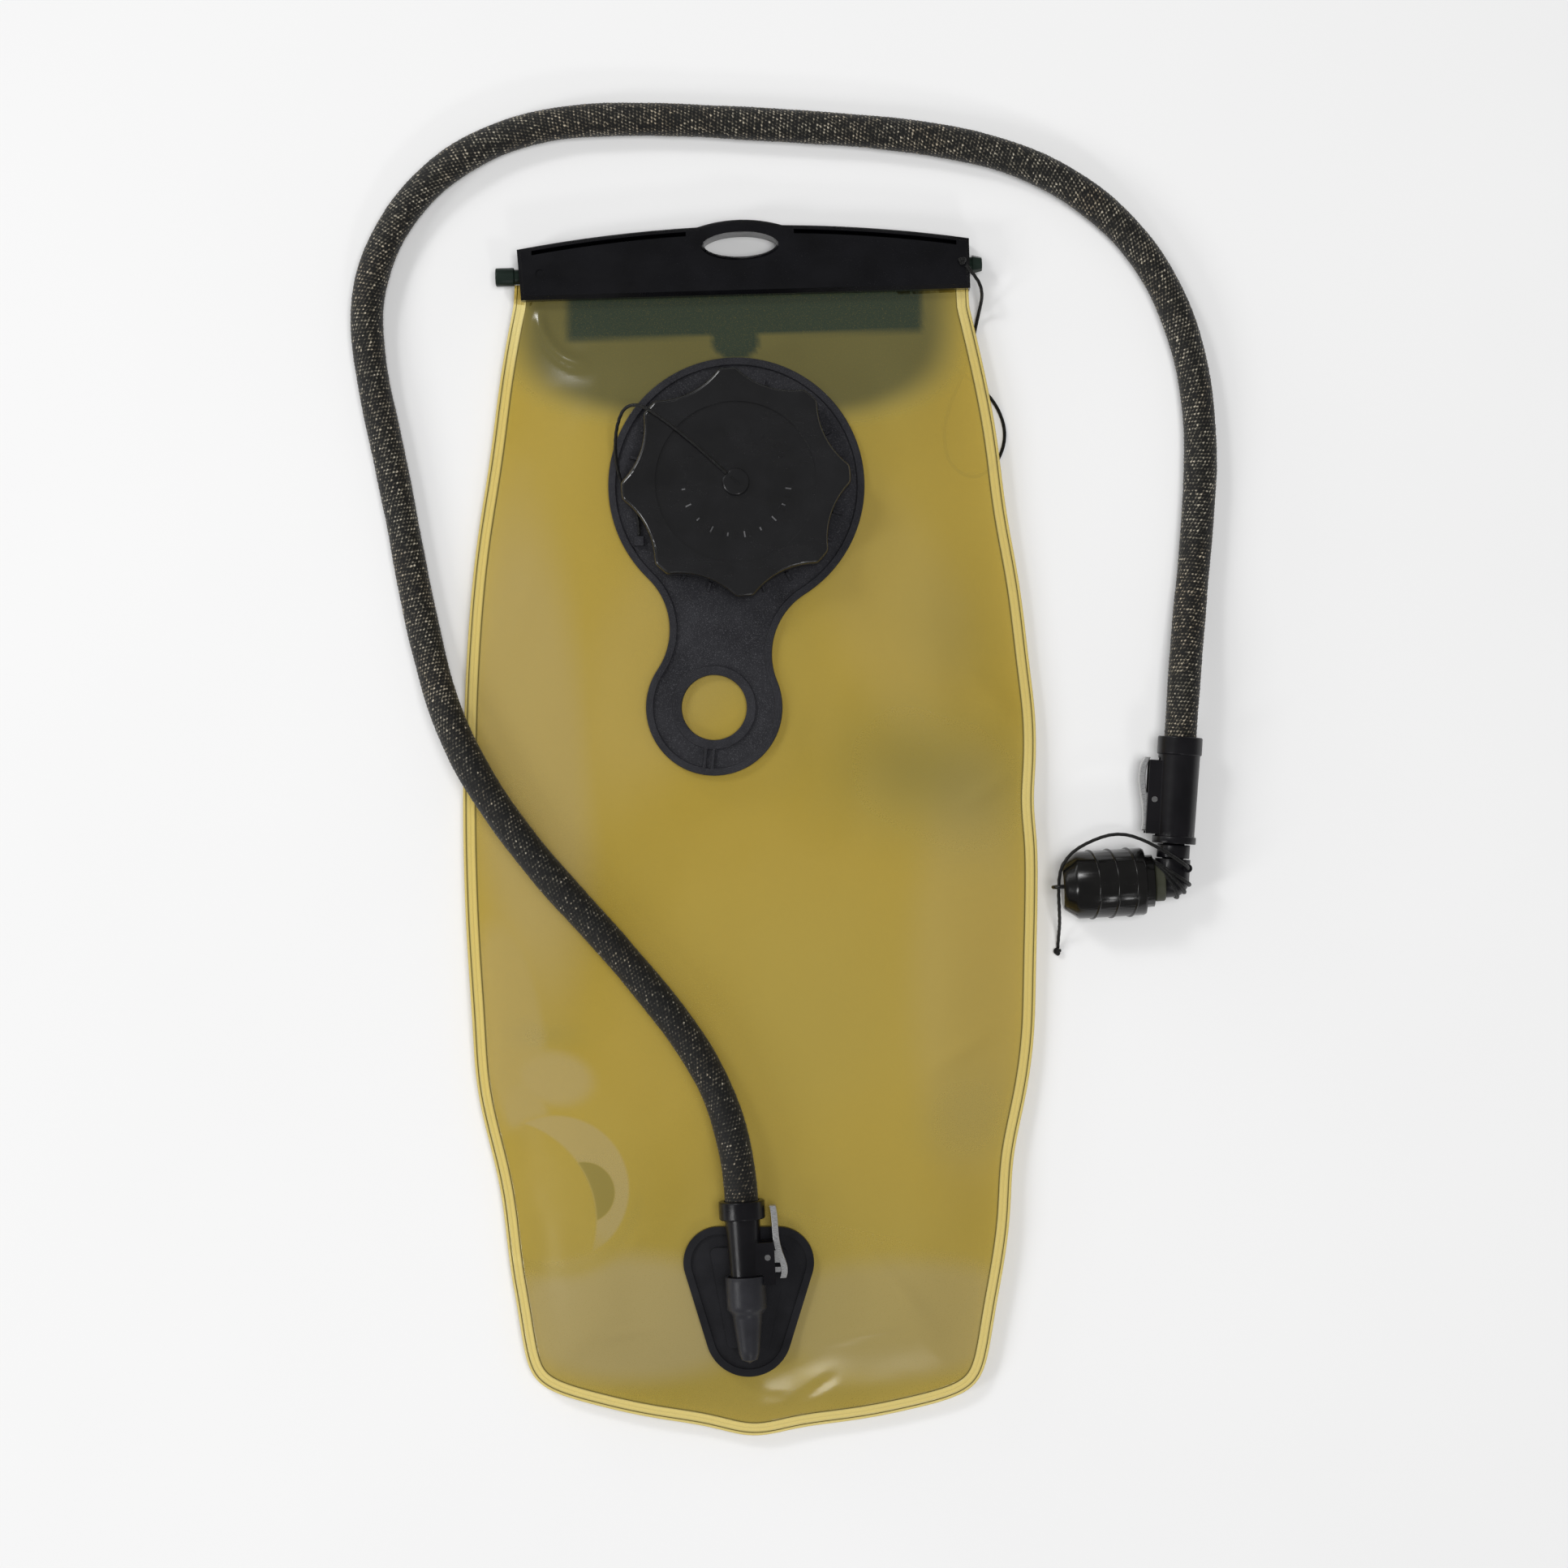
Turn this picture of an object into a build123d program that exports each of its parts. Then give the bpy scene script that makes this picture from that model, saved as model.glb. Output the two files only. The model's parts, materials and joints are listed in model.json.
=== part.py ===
"""Hydration bladder lying on its back: film reservoir, slide closure, screw-cap fill port and drinking hose.

Frame: millimetres, +Z up out of the surface it lies on, +Y towards the closure, +X to the right.
The origin is under the middle of the reservoir, on the surface. One STEP file is written for each piece.
"""
from build123d import *

import math
import os

# ---------- driving dimensions, mm ----------
# reservoir: three points on each side of its outline, then its heights
LEFT_SIDE = [(-96.8, 213.0), (-117.4, 0.0), (-91.5, -213.0)]
RIGHT_SIDE = [(89.5, 213.0), (117.4, -27.0), (97.0, -213.0)]
BOTTOM_EDGE = [(-70.0, -234.0), (2.0, -245.0), (85.0, -232.5)]
BOTTOM_CORNER = 27.0         # rounding of the two bottom corners
LEAST_CORNER = 12.0
TAB_CENTRE, TAB_RADIUS = (1.5, -236.0), 11.5
MOUTH_Y = 213.0              # where the side seams end
FILM = 0.6                   # thickness of one film
SEAM_Z = 7.5                 # height of the weld
BELLY_Z = 16.0               # top of the front film
WELD = 6.5                   # width of the welded border
# levels of the belly: side inset, bottom inset, top edge, part of the height above the seam
BELLY_LEVELS = [(WELD, WELD, 212.0, 0.0), (18.0, 13.0, 203.0, 0.65), (38.0, 19.0, 191.5, 1.0)]

# closure: rod, slider and the folded mouth round the rod, in a frame tilted about +Z
CLOSURE_CENTRE, CLOSURE_TILT = (-3.8, 227.6), 1.6
ROD_RADIUS, ROD_LEFT, ROD_RIGHT = 3.0, -100.3, 98.5
KNOB_LENGTH, KNOB_WIDTH, KNOB_RADIUS = 7.6, 7.3, 3.85
FOLD_CLEAR = 0.1             # rod to folded film
MOUTH_HALF = 92.6            # half the length of the folded mouth
SLIDER_THICK = 15.0
SLIDER_LEFT, SLIDER_RIGHT = -91.0, 93.2
SLIDER_BOTTOM, SLIDER_END_TOP, SLIDER_MID_TOP = -10.4, 9.9, 17.6
SLIDER_EDGE = 1.6            # chamfer of its long edges
CROWN_HALF, CROWN_TOP = 17.3, 20.0
CHANNEL_RADIUS, THROAT = 4.2, 2.2
EYE_LENGTH, EYE_LOW, EYE_HIGH, EYE_FLARE, FLARE_DEPTH = 31.5, 5.2, 15.0, 1.8, 3.1
GROOVE_WIDTH, GROOVE_WALL, GROOVE_DEPTH = 1.8, 1.8, 10.0
GROOVES = [(-85.0, -22.0), (22.0, 88.0)]
DIMPLE_X, DIMPLE_RADIUS, DIMPLE_DEPTH = -81.8, 1.8, 0.6
KNOT_PLACE, KNOT_RADIUS = (86.2, 230.4), 1.9
ANCHOR_X, ANCHOR_Y, ANCHOR_LOW = (57.8, 62.2), (213.4, 217.4), 3.4

# fill port, its grip ring and the screw cap
PORT_CENTRE, PORT_LEAN = (-5.5, 138.8), -5.7
FLANGE_RADIUS, FLANGE_THICK = 52.0, 2.0
GRIP_RADIUS, GRIP_REACH, GRIP_HOLE, GRIP_LIP = 27.7, 90.4, 13.2, 17.0
WAIST_ARC = 28.9             # radius of the concave sides between port and grip
BEAD_WIDTH, BEAD_HEIGHT = 3.0, 1.4
COLLAR_OUTER, COLLAR_INNER, COLLAR_TOP = 36.5, 33.5, 33.0
RIB_COUNT, RIB_INNER, RIB_OUTER, RIB_WIDTH, RIB_TOP = 24, 40.5, 44.5, 1.2, 20.4
LUG_PLACE, LUG_SIZE, LUG_TOP = (-44.9, 116.3), 4.0, 20.5
CAP_TIP, CAP_VALLEY, CAP_LOBES, CAP_PHASE, SCALLOP = 46.0, 40.3, 8, 4.4, 32.0
CAP_BORE, CAP_BOTTOM, CAP_CEILING, CAP_TOP, CAP_EDGE = 38.3, 21.0, 34.4, 37.5, 1.4
DISC_RADIUS, DISC_TOP = 32.4, 36.3
DIAL_TICKS, DIAL_RADIUS, TICK_LENGTH, TICK_WIDTH, TICK_DEPTH = 24, 20.0, 2.4, 0.7, 0.4
SEAL_INNER, SEAL_THICK = 33.4, 1.0
BUTTON_RADIUS, BUTTON_TOP, STEM_RADIUS, BUTTON_FLAT, BUTTON_ANGLE = 5.4, 39.3, 2.0, 4.6, 137.0
CLIP_RADIUS, CLIP_THICK, AXIAL_PLAY, STEM_PLAY = 4.6, 1.5, 0.1, 0.3
CORD_RADIUS = 0.75

# outlet at the bottom of the front film
OUTLET_CENTRE = (-0.5, -192.2)
OUTLET_HALF, OUTLET_REACH, OUTLET_TOP_ARC, OUTLET_LOW_ARC = 26.5, 30.4, 14.5, 17.5
ISLAND = [(-16.0, 22.0), (16.0, 22.0), (8.3, -18.6), (-8.3, -18.6)]
ISLAND_TOP, ISLAND_CORNER = 20.2, 2.5
PORT_START, PORT_AXIS_LEAN, PORT_AXIS_Z = (-3.3, -151.0), 3.0, 28.0
# boot along the connector's axis: distance from the hose end, radius
BOOT = [(29.5, 8.25), (42.5, 8.1), (45.0, 6.2), (60.5, 4.3), (63.2, 3.3), (64.7, 0.0)]
BOOT_MOUTH, BOOT_MOUTH_DEPTH, BOOT_FOOT = 7.0, 4.4, (34.0, 60.5)
RISER_AT, FILM_HOLE = 48.0, 6.0

# quick connectors, along their own axis from the hose end
PORT_LENGTH, VALVE_LENGTH = 33.0, 42.5
PORT_BARREL, VALVE_BARREL = (7.1, 6.1), (8.5, 8.1)
SOCKET_RADIUS, SOCKET_START, WATERWAY = 4.4, 14.0, 2.4
NIPPLE_RADIUS, NIPPLE_TIP = 4.32, 16.0
BARB_RADIUS, BARB_LENGTH = 3.45, 12.0
COLLAR_RING, COLLAR_RING_LENGTH, COLLAR_RING_LEAD = 9.3, 6.5, 1.0
RING_PLAY = 0.05
PIN_RADIUS, PIN_X, PORT_PIN, VALVE_PIN = 1.2, 9.4, 22.0, 25.0
CHEEK_HALF, CHEEK_GAP, CHEEK_REACH = 4.8, 3.0, 12.2
LEVER_HALF, LEVER_THICK, LEVER_LOBE = 2.6, 2.5, 2.5
# outer edge of each lever: distance out from the axis, distance along it from the pin
PORT_LEVER = [(13.6, -20.5), (14.2, -14.0), (14.4, -7.0), (15.6, -1.0), (17.1, 4.5), (16.4, 8.8)]
VALVE_LEVER = [(14.2, -17.0), (15.7, -12.5), (15.5, -5.0), (14.1, 2.0), (13.3, 8.0), (13.7, 13.0)]
TOOTH_AT, TOOTH_LENGTH, TOOTH_HALF, TOOTH_TIP = 4.4, 2.0, 1.4, 4.9
WINDOW_PLAY = (0.5, 0.7)      # tooth to its window, beside and along
BOOT_RELIEF = 0.5            # cheeks to boot
O_RING_AT, O_RING_RADIUS, GROOVE_FLOOR = 4.5, 0.45, 3.4

# hose and the valve at its far end
SLEEVE_RADIUS, SLEEVE_BORE = 6.9, 5.4
TUBE_RADIUS, TUBE_BORE = 5.0, 3.5
VALVE_START, VALVE_AXIS_LEAN, VALVE_AXIS_Z = (175.1, 36.0), -3.6, 14.0
ELBOW_REACH, MOUTH_DROP = 57.2, 3.5
NECK_RADIUS, NECK_SPAN = 6.7, (42.9, 48.4)
END_RING_RADIUS, END_RING_SPAN = 8.9, (39.6, 42.5)
ELBOW_RADIUS, ELBOW_TOP, ELBOW_WATERWAY = 7.2, 48.8, 3.0
SPIGOT_RADIUS, SPIGOT_END = 4.5, 17.0
HOOK_PLACE, HOOK_RADIUS, HOOK_TOP = (177.6, -16.4), 1.7, 20.2
VALVE_RING_RADIUS, VALVE_RING_SPAN = 8.5, (3.0, 7.2)
# mouthpiece and shield along their own axis from the elbow's corner: distance, radius
MOUTHPIECE = [(7.7, 8.3), (13.5, 8.3), (15.0, 7.0), (27.0, 6.6), (36.5, 6.9), (38.8, 5.6)]
BITE_BORE, BITE_END, BITE_SLIT = 2.5, 36.0, 0.6
MOUTHPIECE_SOCKET, SOCKET_END = 4.85, 17.6
SHIELD = [(7.7, 10.6), (10.6, 10.6), (11.2, 13.2), (12.2, 13.7), (38.6, 13.7), (44.0, 9.8), (44.5, 9.0)]
SHIELD_NECK_BORE, SHIELD_BORE, SHIELD_NECK_END, SHIELD_FLOOR = 9.0, 11.6, 12.8, 41.0
SHIELD_RIBS, RIB_RADIUS, RIB_FIRST, RIB_STEP, RIB_LEAN = 3, 0.55, 18.0, 7.6, 14.0
LOOP_AT, LOOP_UP, LOOP_MAJOR, LOOP_MINOR = 45.6, 5.3, 3.0, 0.8

# centreline points of the hose and of the thin cords
HOSE_ROUTE = [
    (-3.3, -151.0, 28.0), (-4.427, -129.5, 28.0), (-17.5, -94.0, 26.0), (-50.0, -53.0, 24.4),
    (-92.0, -8.0, 23.6), (-121.0, 36.0, 17.4), (-134.5, 82.0, 7.0), (-145.0, 140.0, 7.0),
    (-157.5, 196.0, 7.0), (-156.0, 226.0, 7.0), (-142.0, 254.0, 7.0), (-119.0, 275.0, 7.0),
    (-88.0, 287.5, 7.0), (-50.0, 290.5, 7.0), (15.0, 287.2, 7.0), (70.0, 283.0, 7.0),
    (112.0, 273.5, 7.0), (144.0, 254.5, 7.0), (167.0, 228.0, 7.0), (180.5, 194.0, 7.0),
    (184.8, 158.0, 7.0), (182.8, 122.0, 7.0), (179.4, 88.0, 8.6), (176.61, 60.0, 14.0),
    (175.1, 36.0, 14.0),
]
CAP_TETHER_ROUTE = [
    (-8.86, 141.94, 38.2), (-15.0, 147.7, 38.7), (-24.5, 156.0, 40.2), (-35.5, 164.5, 40.6),
    (-44.0, 169.8, 39.6), (-50.3, 169.0, 36.0), (-53.3, 162.5, 31.5), (-54.4, 155.0, 27.0),
    (-54.0, 147.8, 23.0), (-52.4, 140.3, 20.3), (-48.6, 132.6, 19.3), (-44.9, 126.0, 19.2),
    (-44.9, 118.6, 19.2),
]
CLOSURE_TETHER_ROUTE = [
    (87.8, 228.6, 16.4), (91.0, 224.8, 16.6), (93.6, 221.0, 15.6), (94.6, 217.4, 12.2),
    (94.4, 214.4, 7.0), (93.2, 209.0, 2.6), (91.4, 200.0, 0.8), (88.0, 187.0, 0.8),
    (82.0, 174.0, 0.8), (79.0, 161.0, 0.8), (81.6, 148.6, 0.8), (91.4, 142.6, 0.8),
    (101.0, 148.4, 0.8), (105.4, 160.4, 0.8), (102.0, 172.4, 0.8), (94.4, 180.8, 3.4),
    (84.2, 188.0, 3.4), (74.0, 195.6, 1.0), (65.6, 202.6, 1.2), (60.6, 208.4, 2.8), (60.0, 213.4, 4.8),
]
SHIELD_TETHER_ROUTE = [
    (177.6, -16.4, 20.2), (177.3, -15.9, 22.8), (175.0, -14.2, 25.4), (171.0, -11.6, 26.9),
    (165.0, -8.0, 27.2), (158.5, -4.6, 26.6), (151.0, -2.2, 25.6), (143.0, -3.0, 24.6),
    (131.6, -8.4, 22.8), (126.4, -14.8, 21.6), (125.2, -20.8, 20.0), (125.2, -27.2, 18.6),
    (125.8, -33.6, 15.0), (126.4, -39.4, 9.4), (126.4, -44.4, 3.6), (126.2, -49.6, 1.0),
]
SHIELD_TETHER_SPLIT = 8      # the cord's first points are on the elbow, the rest on the shield
END_KNOT_RADIUS = 1.9


# ---------- helpers ----------
def circle_through(points):
    """Centre and radius of the circle through three points."""
    arc = ThreePointArc(*points)
    return arc.arc_center, arc.radius


def circles_meet(centre_a, radius_a, centre_b, radius_b, side):
    """The lower point where two circles cross, on the wanted side of the first centre's line."""
    between = centre_b - centre_a
    gap = between.length
    along = (gap**2 + radius_a**2 - radius_b**2) / (2 * gap)
    across = math.sqrt(radius_a**2 - along**2)
    normal = Vector(-between.Y, between.X).normalized()
    foot = centre_a + between.normalized() * along
    ends = [foot + normal * across, foot - normal * across]
    return min(ends, key=lambda point: point.Y - side * point.X)


def turned(profile):
    """A (radius, height) profile turned about local Z."""
    return revolve(make_face(Plane.XZ * Polyline(profile, close=True)), Axis.Z)


def disc(radius, low, high, place=(0.0, 0.0)):
    return Pos(*place, low) * Cylinder(radius, high - low, align=(Align.CENTER, Align.CENTER, Align.MIN))


def block(x_span, y_span, z_span):
    """A box from its spans along local X, Y and Z."""
    size = [high - low for low, high in (x_span, y_span, z_span)]
    middle = [(high + low) / 2 for low, high in (x_span, y_span, z_span)]
    return Pos(*middle) * Box(*size)


def connector_frame(start, height, lean, side):
    """Local Z runs along the connector from the hose end, local X points to the lever's side."""
    angle = math.radians(lean)
    along = Vector(math.sin(angle), -math.cos(angle))
    return Plane(origin=(*start, height), x_dir=Vector(math.cos(angle), math.sin(angle)) * side, z_dir=along)


PORT_FRAME = connector_frame(PORT_START, PORT_AXIS_Z, PORT_AXIS_LEAN, 1)
VALVE_FRAME = connector_frame(VALVE_START, VALVE_AXIS_Z, VALVE_AXIS_LEAN, -1)
CORNER = VALVE_FRAME.from_local_coords(Vector(0, 0, ELBOW_REACH))
MOUTH_ANGLE = math.radians(180 + MOUTH_DROP)
MOUTH_DIRECTION = Vector(math.cos(MOUTH_ANGLE), math.sin(MOUTH_ANGLE))
MOUTH_FRAME = Plane(origin=CORNER, x_dir=(0, 0, 1), z_dir=MOUTH_DIRECTION)
CLOSURE_FRAME = Plane(origin=(*CLOSURE_CENTRE, SEAM_Z)).rotated((0, 0, CLOSURE_TILT))
PORT_PLATE_FRAME = Plane(origin=(*PORT_CENTRE, 0)).rotated((0, 0, PORT_LEAN))


def swept_tube(name, route, radius, bore=0.0):
    """A round tube along straight runs joined by arcs as large as both runs allow; prints its measures."""
    points = [Vector(*point) for point in route]
    radii = []
    for before, corner, after in zip(points, points[1:], points[2:]):
        turn = math.radians((corner - before).get_angle(after - corner))
        run = min((corner - before).length, (after - corner).length)
        radii.append(0.45 * run / math.tan(turn / 2))
    path = FilletPolyline(*points, radius=radii)
    plane = Plane(origin=points[0], z_dir=points[1] - points[0])
    section = plane * Circle(radius)
    if bore:
        section -= plane * Circle(bore)
    tube = sweep(section, path)
    expected = math.pi * (radius**2 - bore**2) * path.length
    print(f"{name}: length {path.length:.1f}, tightest arc {min(radii):.1f}")
    print(f"{name}: volume ratio {tube.volume / expected:.4f}")
    return tube


# ---------- reservoir ----------
def bag_plan(side, bottom, top_y):
    """Plan of the reservoir drawn in by the given insets, cut off straight at top_y."""
    left_centre, left_radius = circle_through(LEFT_SIDE)
    right_centre, right_radius = circle_through(RIGHT_SIDE)
    low_centre, low_radius = circle_through(BOTTOM_EDGE)
    left_radius, right_radius, low_radius = left_radius - side, right_radius - side, low_radius - bottom

    def left_at(y):
        return left_centre.X - math.sqrt(left_radius**2 - (y - left_centre.Y) ** 2), y

    def right_at(y):
        return right_centre.X + math.sqrt(right_radius**2 - (y - right_centre.Y) ** 2), y

    low_left = circles_meet(left_centre, left_radius, low_centre, low_radius, -1)
    low_right = circles_meet(right_centre, right_radius, low_centre, low_radius, 1)
    low_left, low_right = (low_left.X, low_left.Y), (low_right.X, low_right.Y)
    outline = [
        ThreePointArc(left_at(top_y), left_at(0), low_left),
        ThreePointArc(low_left, (low_centre.X, low_centre.Y - low_radius), low_right),
        ThreePointArc(low_right, right_at(0), right_at(top_y)),
        Line(right_at(top_y), left_at(top_y)),
    ]
    face = make_face(outline)
    return fillet(face.vertices().sort_by(Axis.Y)[:2], max(BOTTOM_CORNER - side, LEAST_CORNER))


def belly(height, inward):
    """Bulge of one film above the seam, or the hollow inside it when inward is set."""
    sections = []
    for side, bottom, top_y, part in BELLY_LEVELS:
        extra = inward * (2.3 if part == 0 else 1.5)
        drop = inward if part else 0.0
        sections.append(Pos(0, 0, part * height - drop) * bag_plan(side + extra, bottom + extra, top_y - extra))
    return loft(sections, ruled=True)


def film_half(height):
    """One film above the seam plane: welded border, belly and the half that folds round the rod."""
    border = extrude(bag_plan(0, 0, MOUTH_Y), FILM) + disc(TAB_RADIUS, 0, FILM, TAB_CENTRE)
    fold_inner = ROD_RADIUS + FOLD_CLEAR
    fold_outer = fold_inner + FILM
    strip = block((-MOUTH_HALF, MOUTH_HALF), (-18.0, -(fold_inner + fold_outer) / 2), (0, FILM))
    rod_axis = Plane(origin=(-MOUTH_HALF, 0, 0), x_dir=(0, 1, 0), z_dir=(1, 0, 0))
    ring = extrude(rod_axis * (Circle(fold_outer) - Circle(fold_inner)), 2 * MOUTH_HALF)
    fold = ring & block((-MOUTH_HALF, MOUTH_HALF), (-fold_outer, fold_outer), (0, fold_outer))
    closure = Pos(*CLOSURE_CENTRE, 0) * Rot(0, 0, CLOSURE_TILT)
    return border + closure * (strip + fold) + belly(height, 0) - belly(height, FILM)


def front_film():
    holes = disc(COLLAR_INNER, 0, BELLY_Z, PORT_CENTRE)
    riser = PORT_FRAME.from_local_coords(Vector(0, 0, RISER_AT))
    holes += disc(FILM_HOLE, 0, BELLY_Z, (riser.X, riser.Y))
    return Pos(0, 0, SEAM_Z) * film_half(BELLY_Z - SEAM_Z) - Pos(0, 0, SEAM_Z - 1) * holes


def back_film():
    return Pos(0, 0, SEAM_Z) * mirror(film_half(SEAM_Z), about=Plane.XY)


# ---------- closure ----------
def along_closure(sketch, left, right):
    """A sketch in the closure's cross-section, (y', z'), extruded between two places along it."""
    plane = Plane(origin=(left, 0, 0), x_dir=(0, 1, 0), z_dir=(1, 0, 0))
    return extrude(plane * sketch, right - left)


def closing_rod():
    rod = along_closure(Circle(ROD_RADIUS), ROD_LEFT + KNOB_LENGTH, ROD_RIGHT - 4.0)
    knob = Circle(KNOB_RADIUS) & Rectangle(KNOB_WIDTH, KNOB_WIDTH)
    knob = along_closure(knob, ROD_LEFT, ROD_LEFT + KNOB_LENGTH)
    knob = fillet(knob.faces().sort_by(Axis.X)[0].edges(), 0.6)
    base = Plane(origin=(ROD_RIGHT - 4.0, 0, 0), x_dir=(0, 1, 0), z_dir=(1, 0, 0))
    tip = Plane(origin=(ROD_RIGHT, 0, 0), x_dir=(0, 1, 0), z_dir=(1, 0, 0))
    plug = loft([base * RegularPolygon(KNOB_RADIUS, 8), tip * RegularPolygon(KNOB_RADIUS - 1.0, 8)])
    return CLOSURE_FRAME.location * (rod + knob + plug)


def slider_top(x):
    """Top edge of the slider's outline, an arc through its ends and its middle."""
    rise = SLIDER_MID_TOP - SLIDER_END_TOP
    return SLIDER_MID_TOP - rise * (x / SLIDER_RIGHT) ** 2


def top_arc(start, end, inset):
    middle = (start + end) / 2
    return ThreePointArc(*[(x, slider_top(x) - inset) for x in (start, middle, end)])


def slider_groove(start, end):
    outer = top_arc(start, end, GROOVE_WALL)
    inner = top_arc(start, end, GROOVE_WALL + GROOVE_WIDTH)
    sketch = make_face([outer, Line(outer @ 1, inner @ 1), inner, Line(outer @ 0, inner @ 0)])
    return Pos(0, 0, SLIDER_THICK / 2 - GROOVE_DEPTH) * extrude(sketch, GROOVE_DEPTH)


def slider_eye():
    """Hanging eye: an oval hole whose lower side flares towards both faces."""
    narrow = Pos(0, (EYE_LOW + EYE_HIGH) / 2) * Ellipse(EYE_LENGTH / 2 - 1, (EYE_HIGH - EYE_LOW) / 2)
    wide = Pos(0, (EYE_LOW - EYE_FLARE + EYE_HIGH) / 2)
    wide *= Ellipse(EYE_LENGTH / 2, (EYE_HIGH - EYE_LOW + EYE_FLARE) / 2)
    half = SLIDER_THICK / 2
    flare = loft([Pos(0, 0, half - FLARE_DEPTH) * narrow, Pos(0, 0, half) * wide])
    hole = Pos(0, 0, -half) * extrude(narrow, SLIDER_THICK)
    return hole + flare + mirror(flare, about=Plane.XY)


def slide_closure():
    right_arc = top_arc(SLIDER_RIGHT, CROWN_HALF, 0)
    left_arc = top_arc(-CROWN_HALF, SLIDER_LEFT, 0)
    outline = [
        Line((SLIDER_LEFT + 1.2, SLIDER_BOTTOM), (SLIDER_RIGHT, SLIDER_BOTTOM)),
        Line((SLIDER_RIGHT, SLIDER_BOTTOM), right_arc @ 0),
        right_arc,
        ThreePointArc(right_arc @ 1, (0, CROWN_TOP), left_arc @ 0),
        left_arc,
        Line(left_arc @ 1, (SLIDER_LEFT + 1.2, SLIDER_BOTTOM)),
    ]
    body = extrude(make_face(outline), SLIDER_THICK / 2, both=True)
    body = chamfer(body.edges().group_by(Axis.Z)[-1] + body.edges().group_by(Axis.Z)[0], SLIDER_EDGE)
    channel = along_closure(Circle(CHANNEL_RADIUS), SLIDER_LEFT - 1, SLIDER_RIGHT + 1)
    throat = block((SLIDER_LEFT - 1, SLIDER_RIGHT + 1), (SLIDER_BOTTOM - 1, 0), (-THROAT / 2, THROAT / 2))
    dimple = disc(DIMPLE_RADIUS, SLIDER_THICK / 2 - DIMPLE_DEPTH, SLIDER_THICK / 2, (DIMPLE_X, 0))
    body -= channel + throat + dimple + slider_eye()
    for start, end in GROOVES:
        body -= slider_groove(start, end)
    return CLOSURE_FRAME.location * body


def closure_tether_knot():
    ball = Pos(*KNOT_PLACE, SLIDER_THICK + KNOT_RADIUS * 0.7) * Sphere(KNOT_RADIUS)
    return ball - block((0, 200), (0, 300), (0, SLIDER_THICK))


def tether_anchor():
    return block(ANCHOR_X, ANCHOR_Y, (ANCHOR_LOW, SEAM_Z - FILM))


# ---------- fill port and cap ----------
def raised_bead(face, width, height):
    """Rim that follows the inside of a flat outline."""
    return extrude(face - offset(face, -width), height)


def port_outline():
    """Disc and grip ring joined by a waist with concave sides, tangent to both."""
    far, near = FLANGE_RADIUS + WAIST_ARC, GRIP_RADIUS + WAIST_ARC
    centre_y = -(far**2 - near**2 + GRIP_REACH**2) / (2 * GRIP_REACH)
    centre_x = math.sqrt(far**2 - centre_y**2)
    on_disc = (centre_x * FLANGE_RADIUS / far, centre_y * FLANGE_RADIUS / far)
    on_grip_y = (centre_y + GRIP_REACH) * GRIP_RADIUS / near - GRIP_REACH
    on_grip = (centre_x * GRIP_RADIUS / near, on_grip_y)
    right = RadiusArc(on_disc, on_grip, -WAIST_ARC)
    left = mirror(right, about=Plane.YZ)
    waist = make_face([right, left, Line(right @ 0, left @ 0), Line(right @ 1, left @ 1)])
    return (Circle(FLANGE_RADIUS) + waist + Pos(0, -GRIP_REACH) * Circle(GRIP_RADIUS)).faces()[0]


def fill_port():
    outline = port_outline()
    top = BELLY_Z + FLANGE_THICK
    body = Pos(0, 0, BELLY_Z) * extrude(outline, FLANGE_THICK)
    body += Pos(0, 0, top) * raised_bead(outline, BEAD_WIDTH, BEAD_HEIGHT)
    body += disc(GRIP_LIP, top, top + BEAD_HEIGHT, (0, -GRIP_REACH))
    for x in (-1.6, 1.6):
        reach = (-GRIP_REACH - GRIP_RADIUS + 1, -GRIP_REACH - GRIP_LIP + 1)
        body += block((x - 0.6, x + 0.6), reach, (top, top + BEAD_HEIGHT))
    body -= disc(GRIP_HOLE, BELLY_Z - 1, top + 2 * BEAD_HEIGHT, (0, -GRIP_REACH))
    body += disc(COLLAR_OUTER, BELLY_Z, COLLAR_TOP)
    body -= disc(COLLAR_INNER, BELLY_Z, COLLAR_TOP)
    body = PORT_PLATE_FRAME.location * body
    lug_x, lug_y = LUG_PLACE[0] - PORT_CENTRE[0], LUG_PLACE[1] - PORT_CENTRE[1]
    lug_angle = math.degrees(math.atan2(lug_y, lug_x)) % 360
    for index in range(RIB_COUNT):
        angle = index * 360 / RIB_COUNT
        if 20 > abs(angle - lug_angle) or 165 < angle < lug_angle:
            continue
        rib = block((RIB_INNER, RIB_OUTER), (-RIB_WIDTH / 2, RIB_WIDTH / 2), (top, RIB_TOP))
        body += Pos(*PORT_CENTRE, 0) * Rot(0, 0, angle) * rib
    half = LUG_SIZE / 2
    return body + Pos(*LUG_PLACE, 0) * block((-half, half), (-half, half), (top, LUG_TOP))


def star_outline():
    star = Circle(CAP_TIP)
    for index in range(CAP_LOBES):
        angle = CAP_PHASE + (index + 0.5) * 360 / CAP_LOBES
        star -= Rot(0, 0, angle) * Pos(CAP_VALLEY + SCALLOP, 0) * Circle(SCALLOP)
    return fillet(star.vertices(), 3.0)


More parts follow.
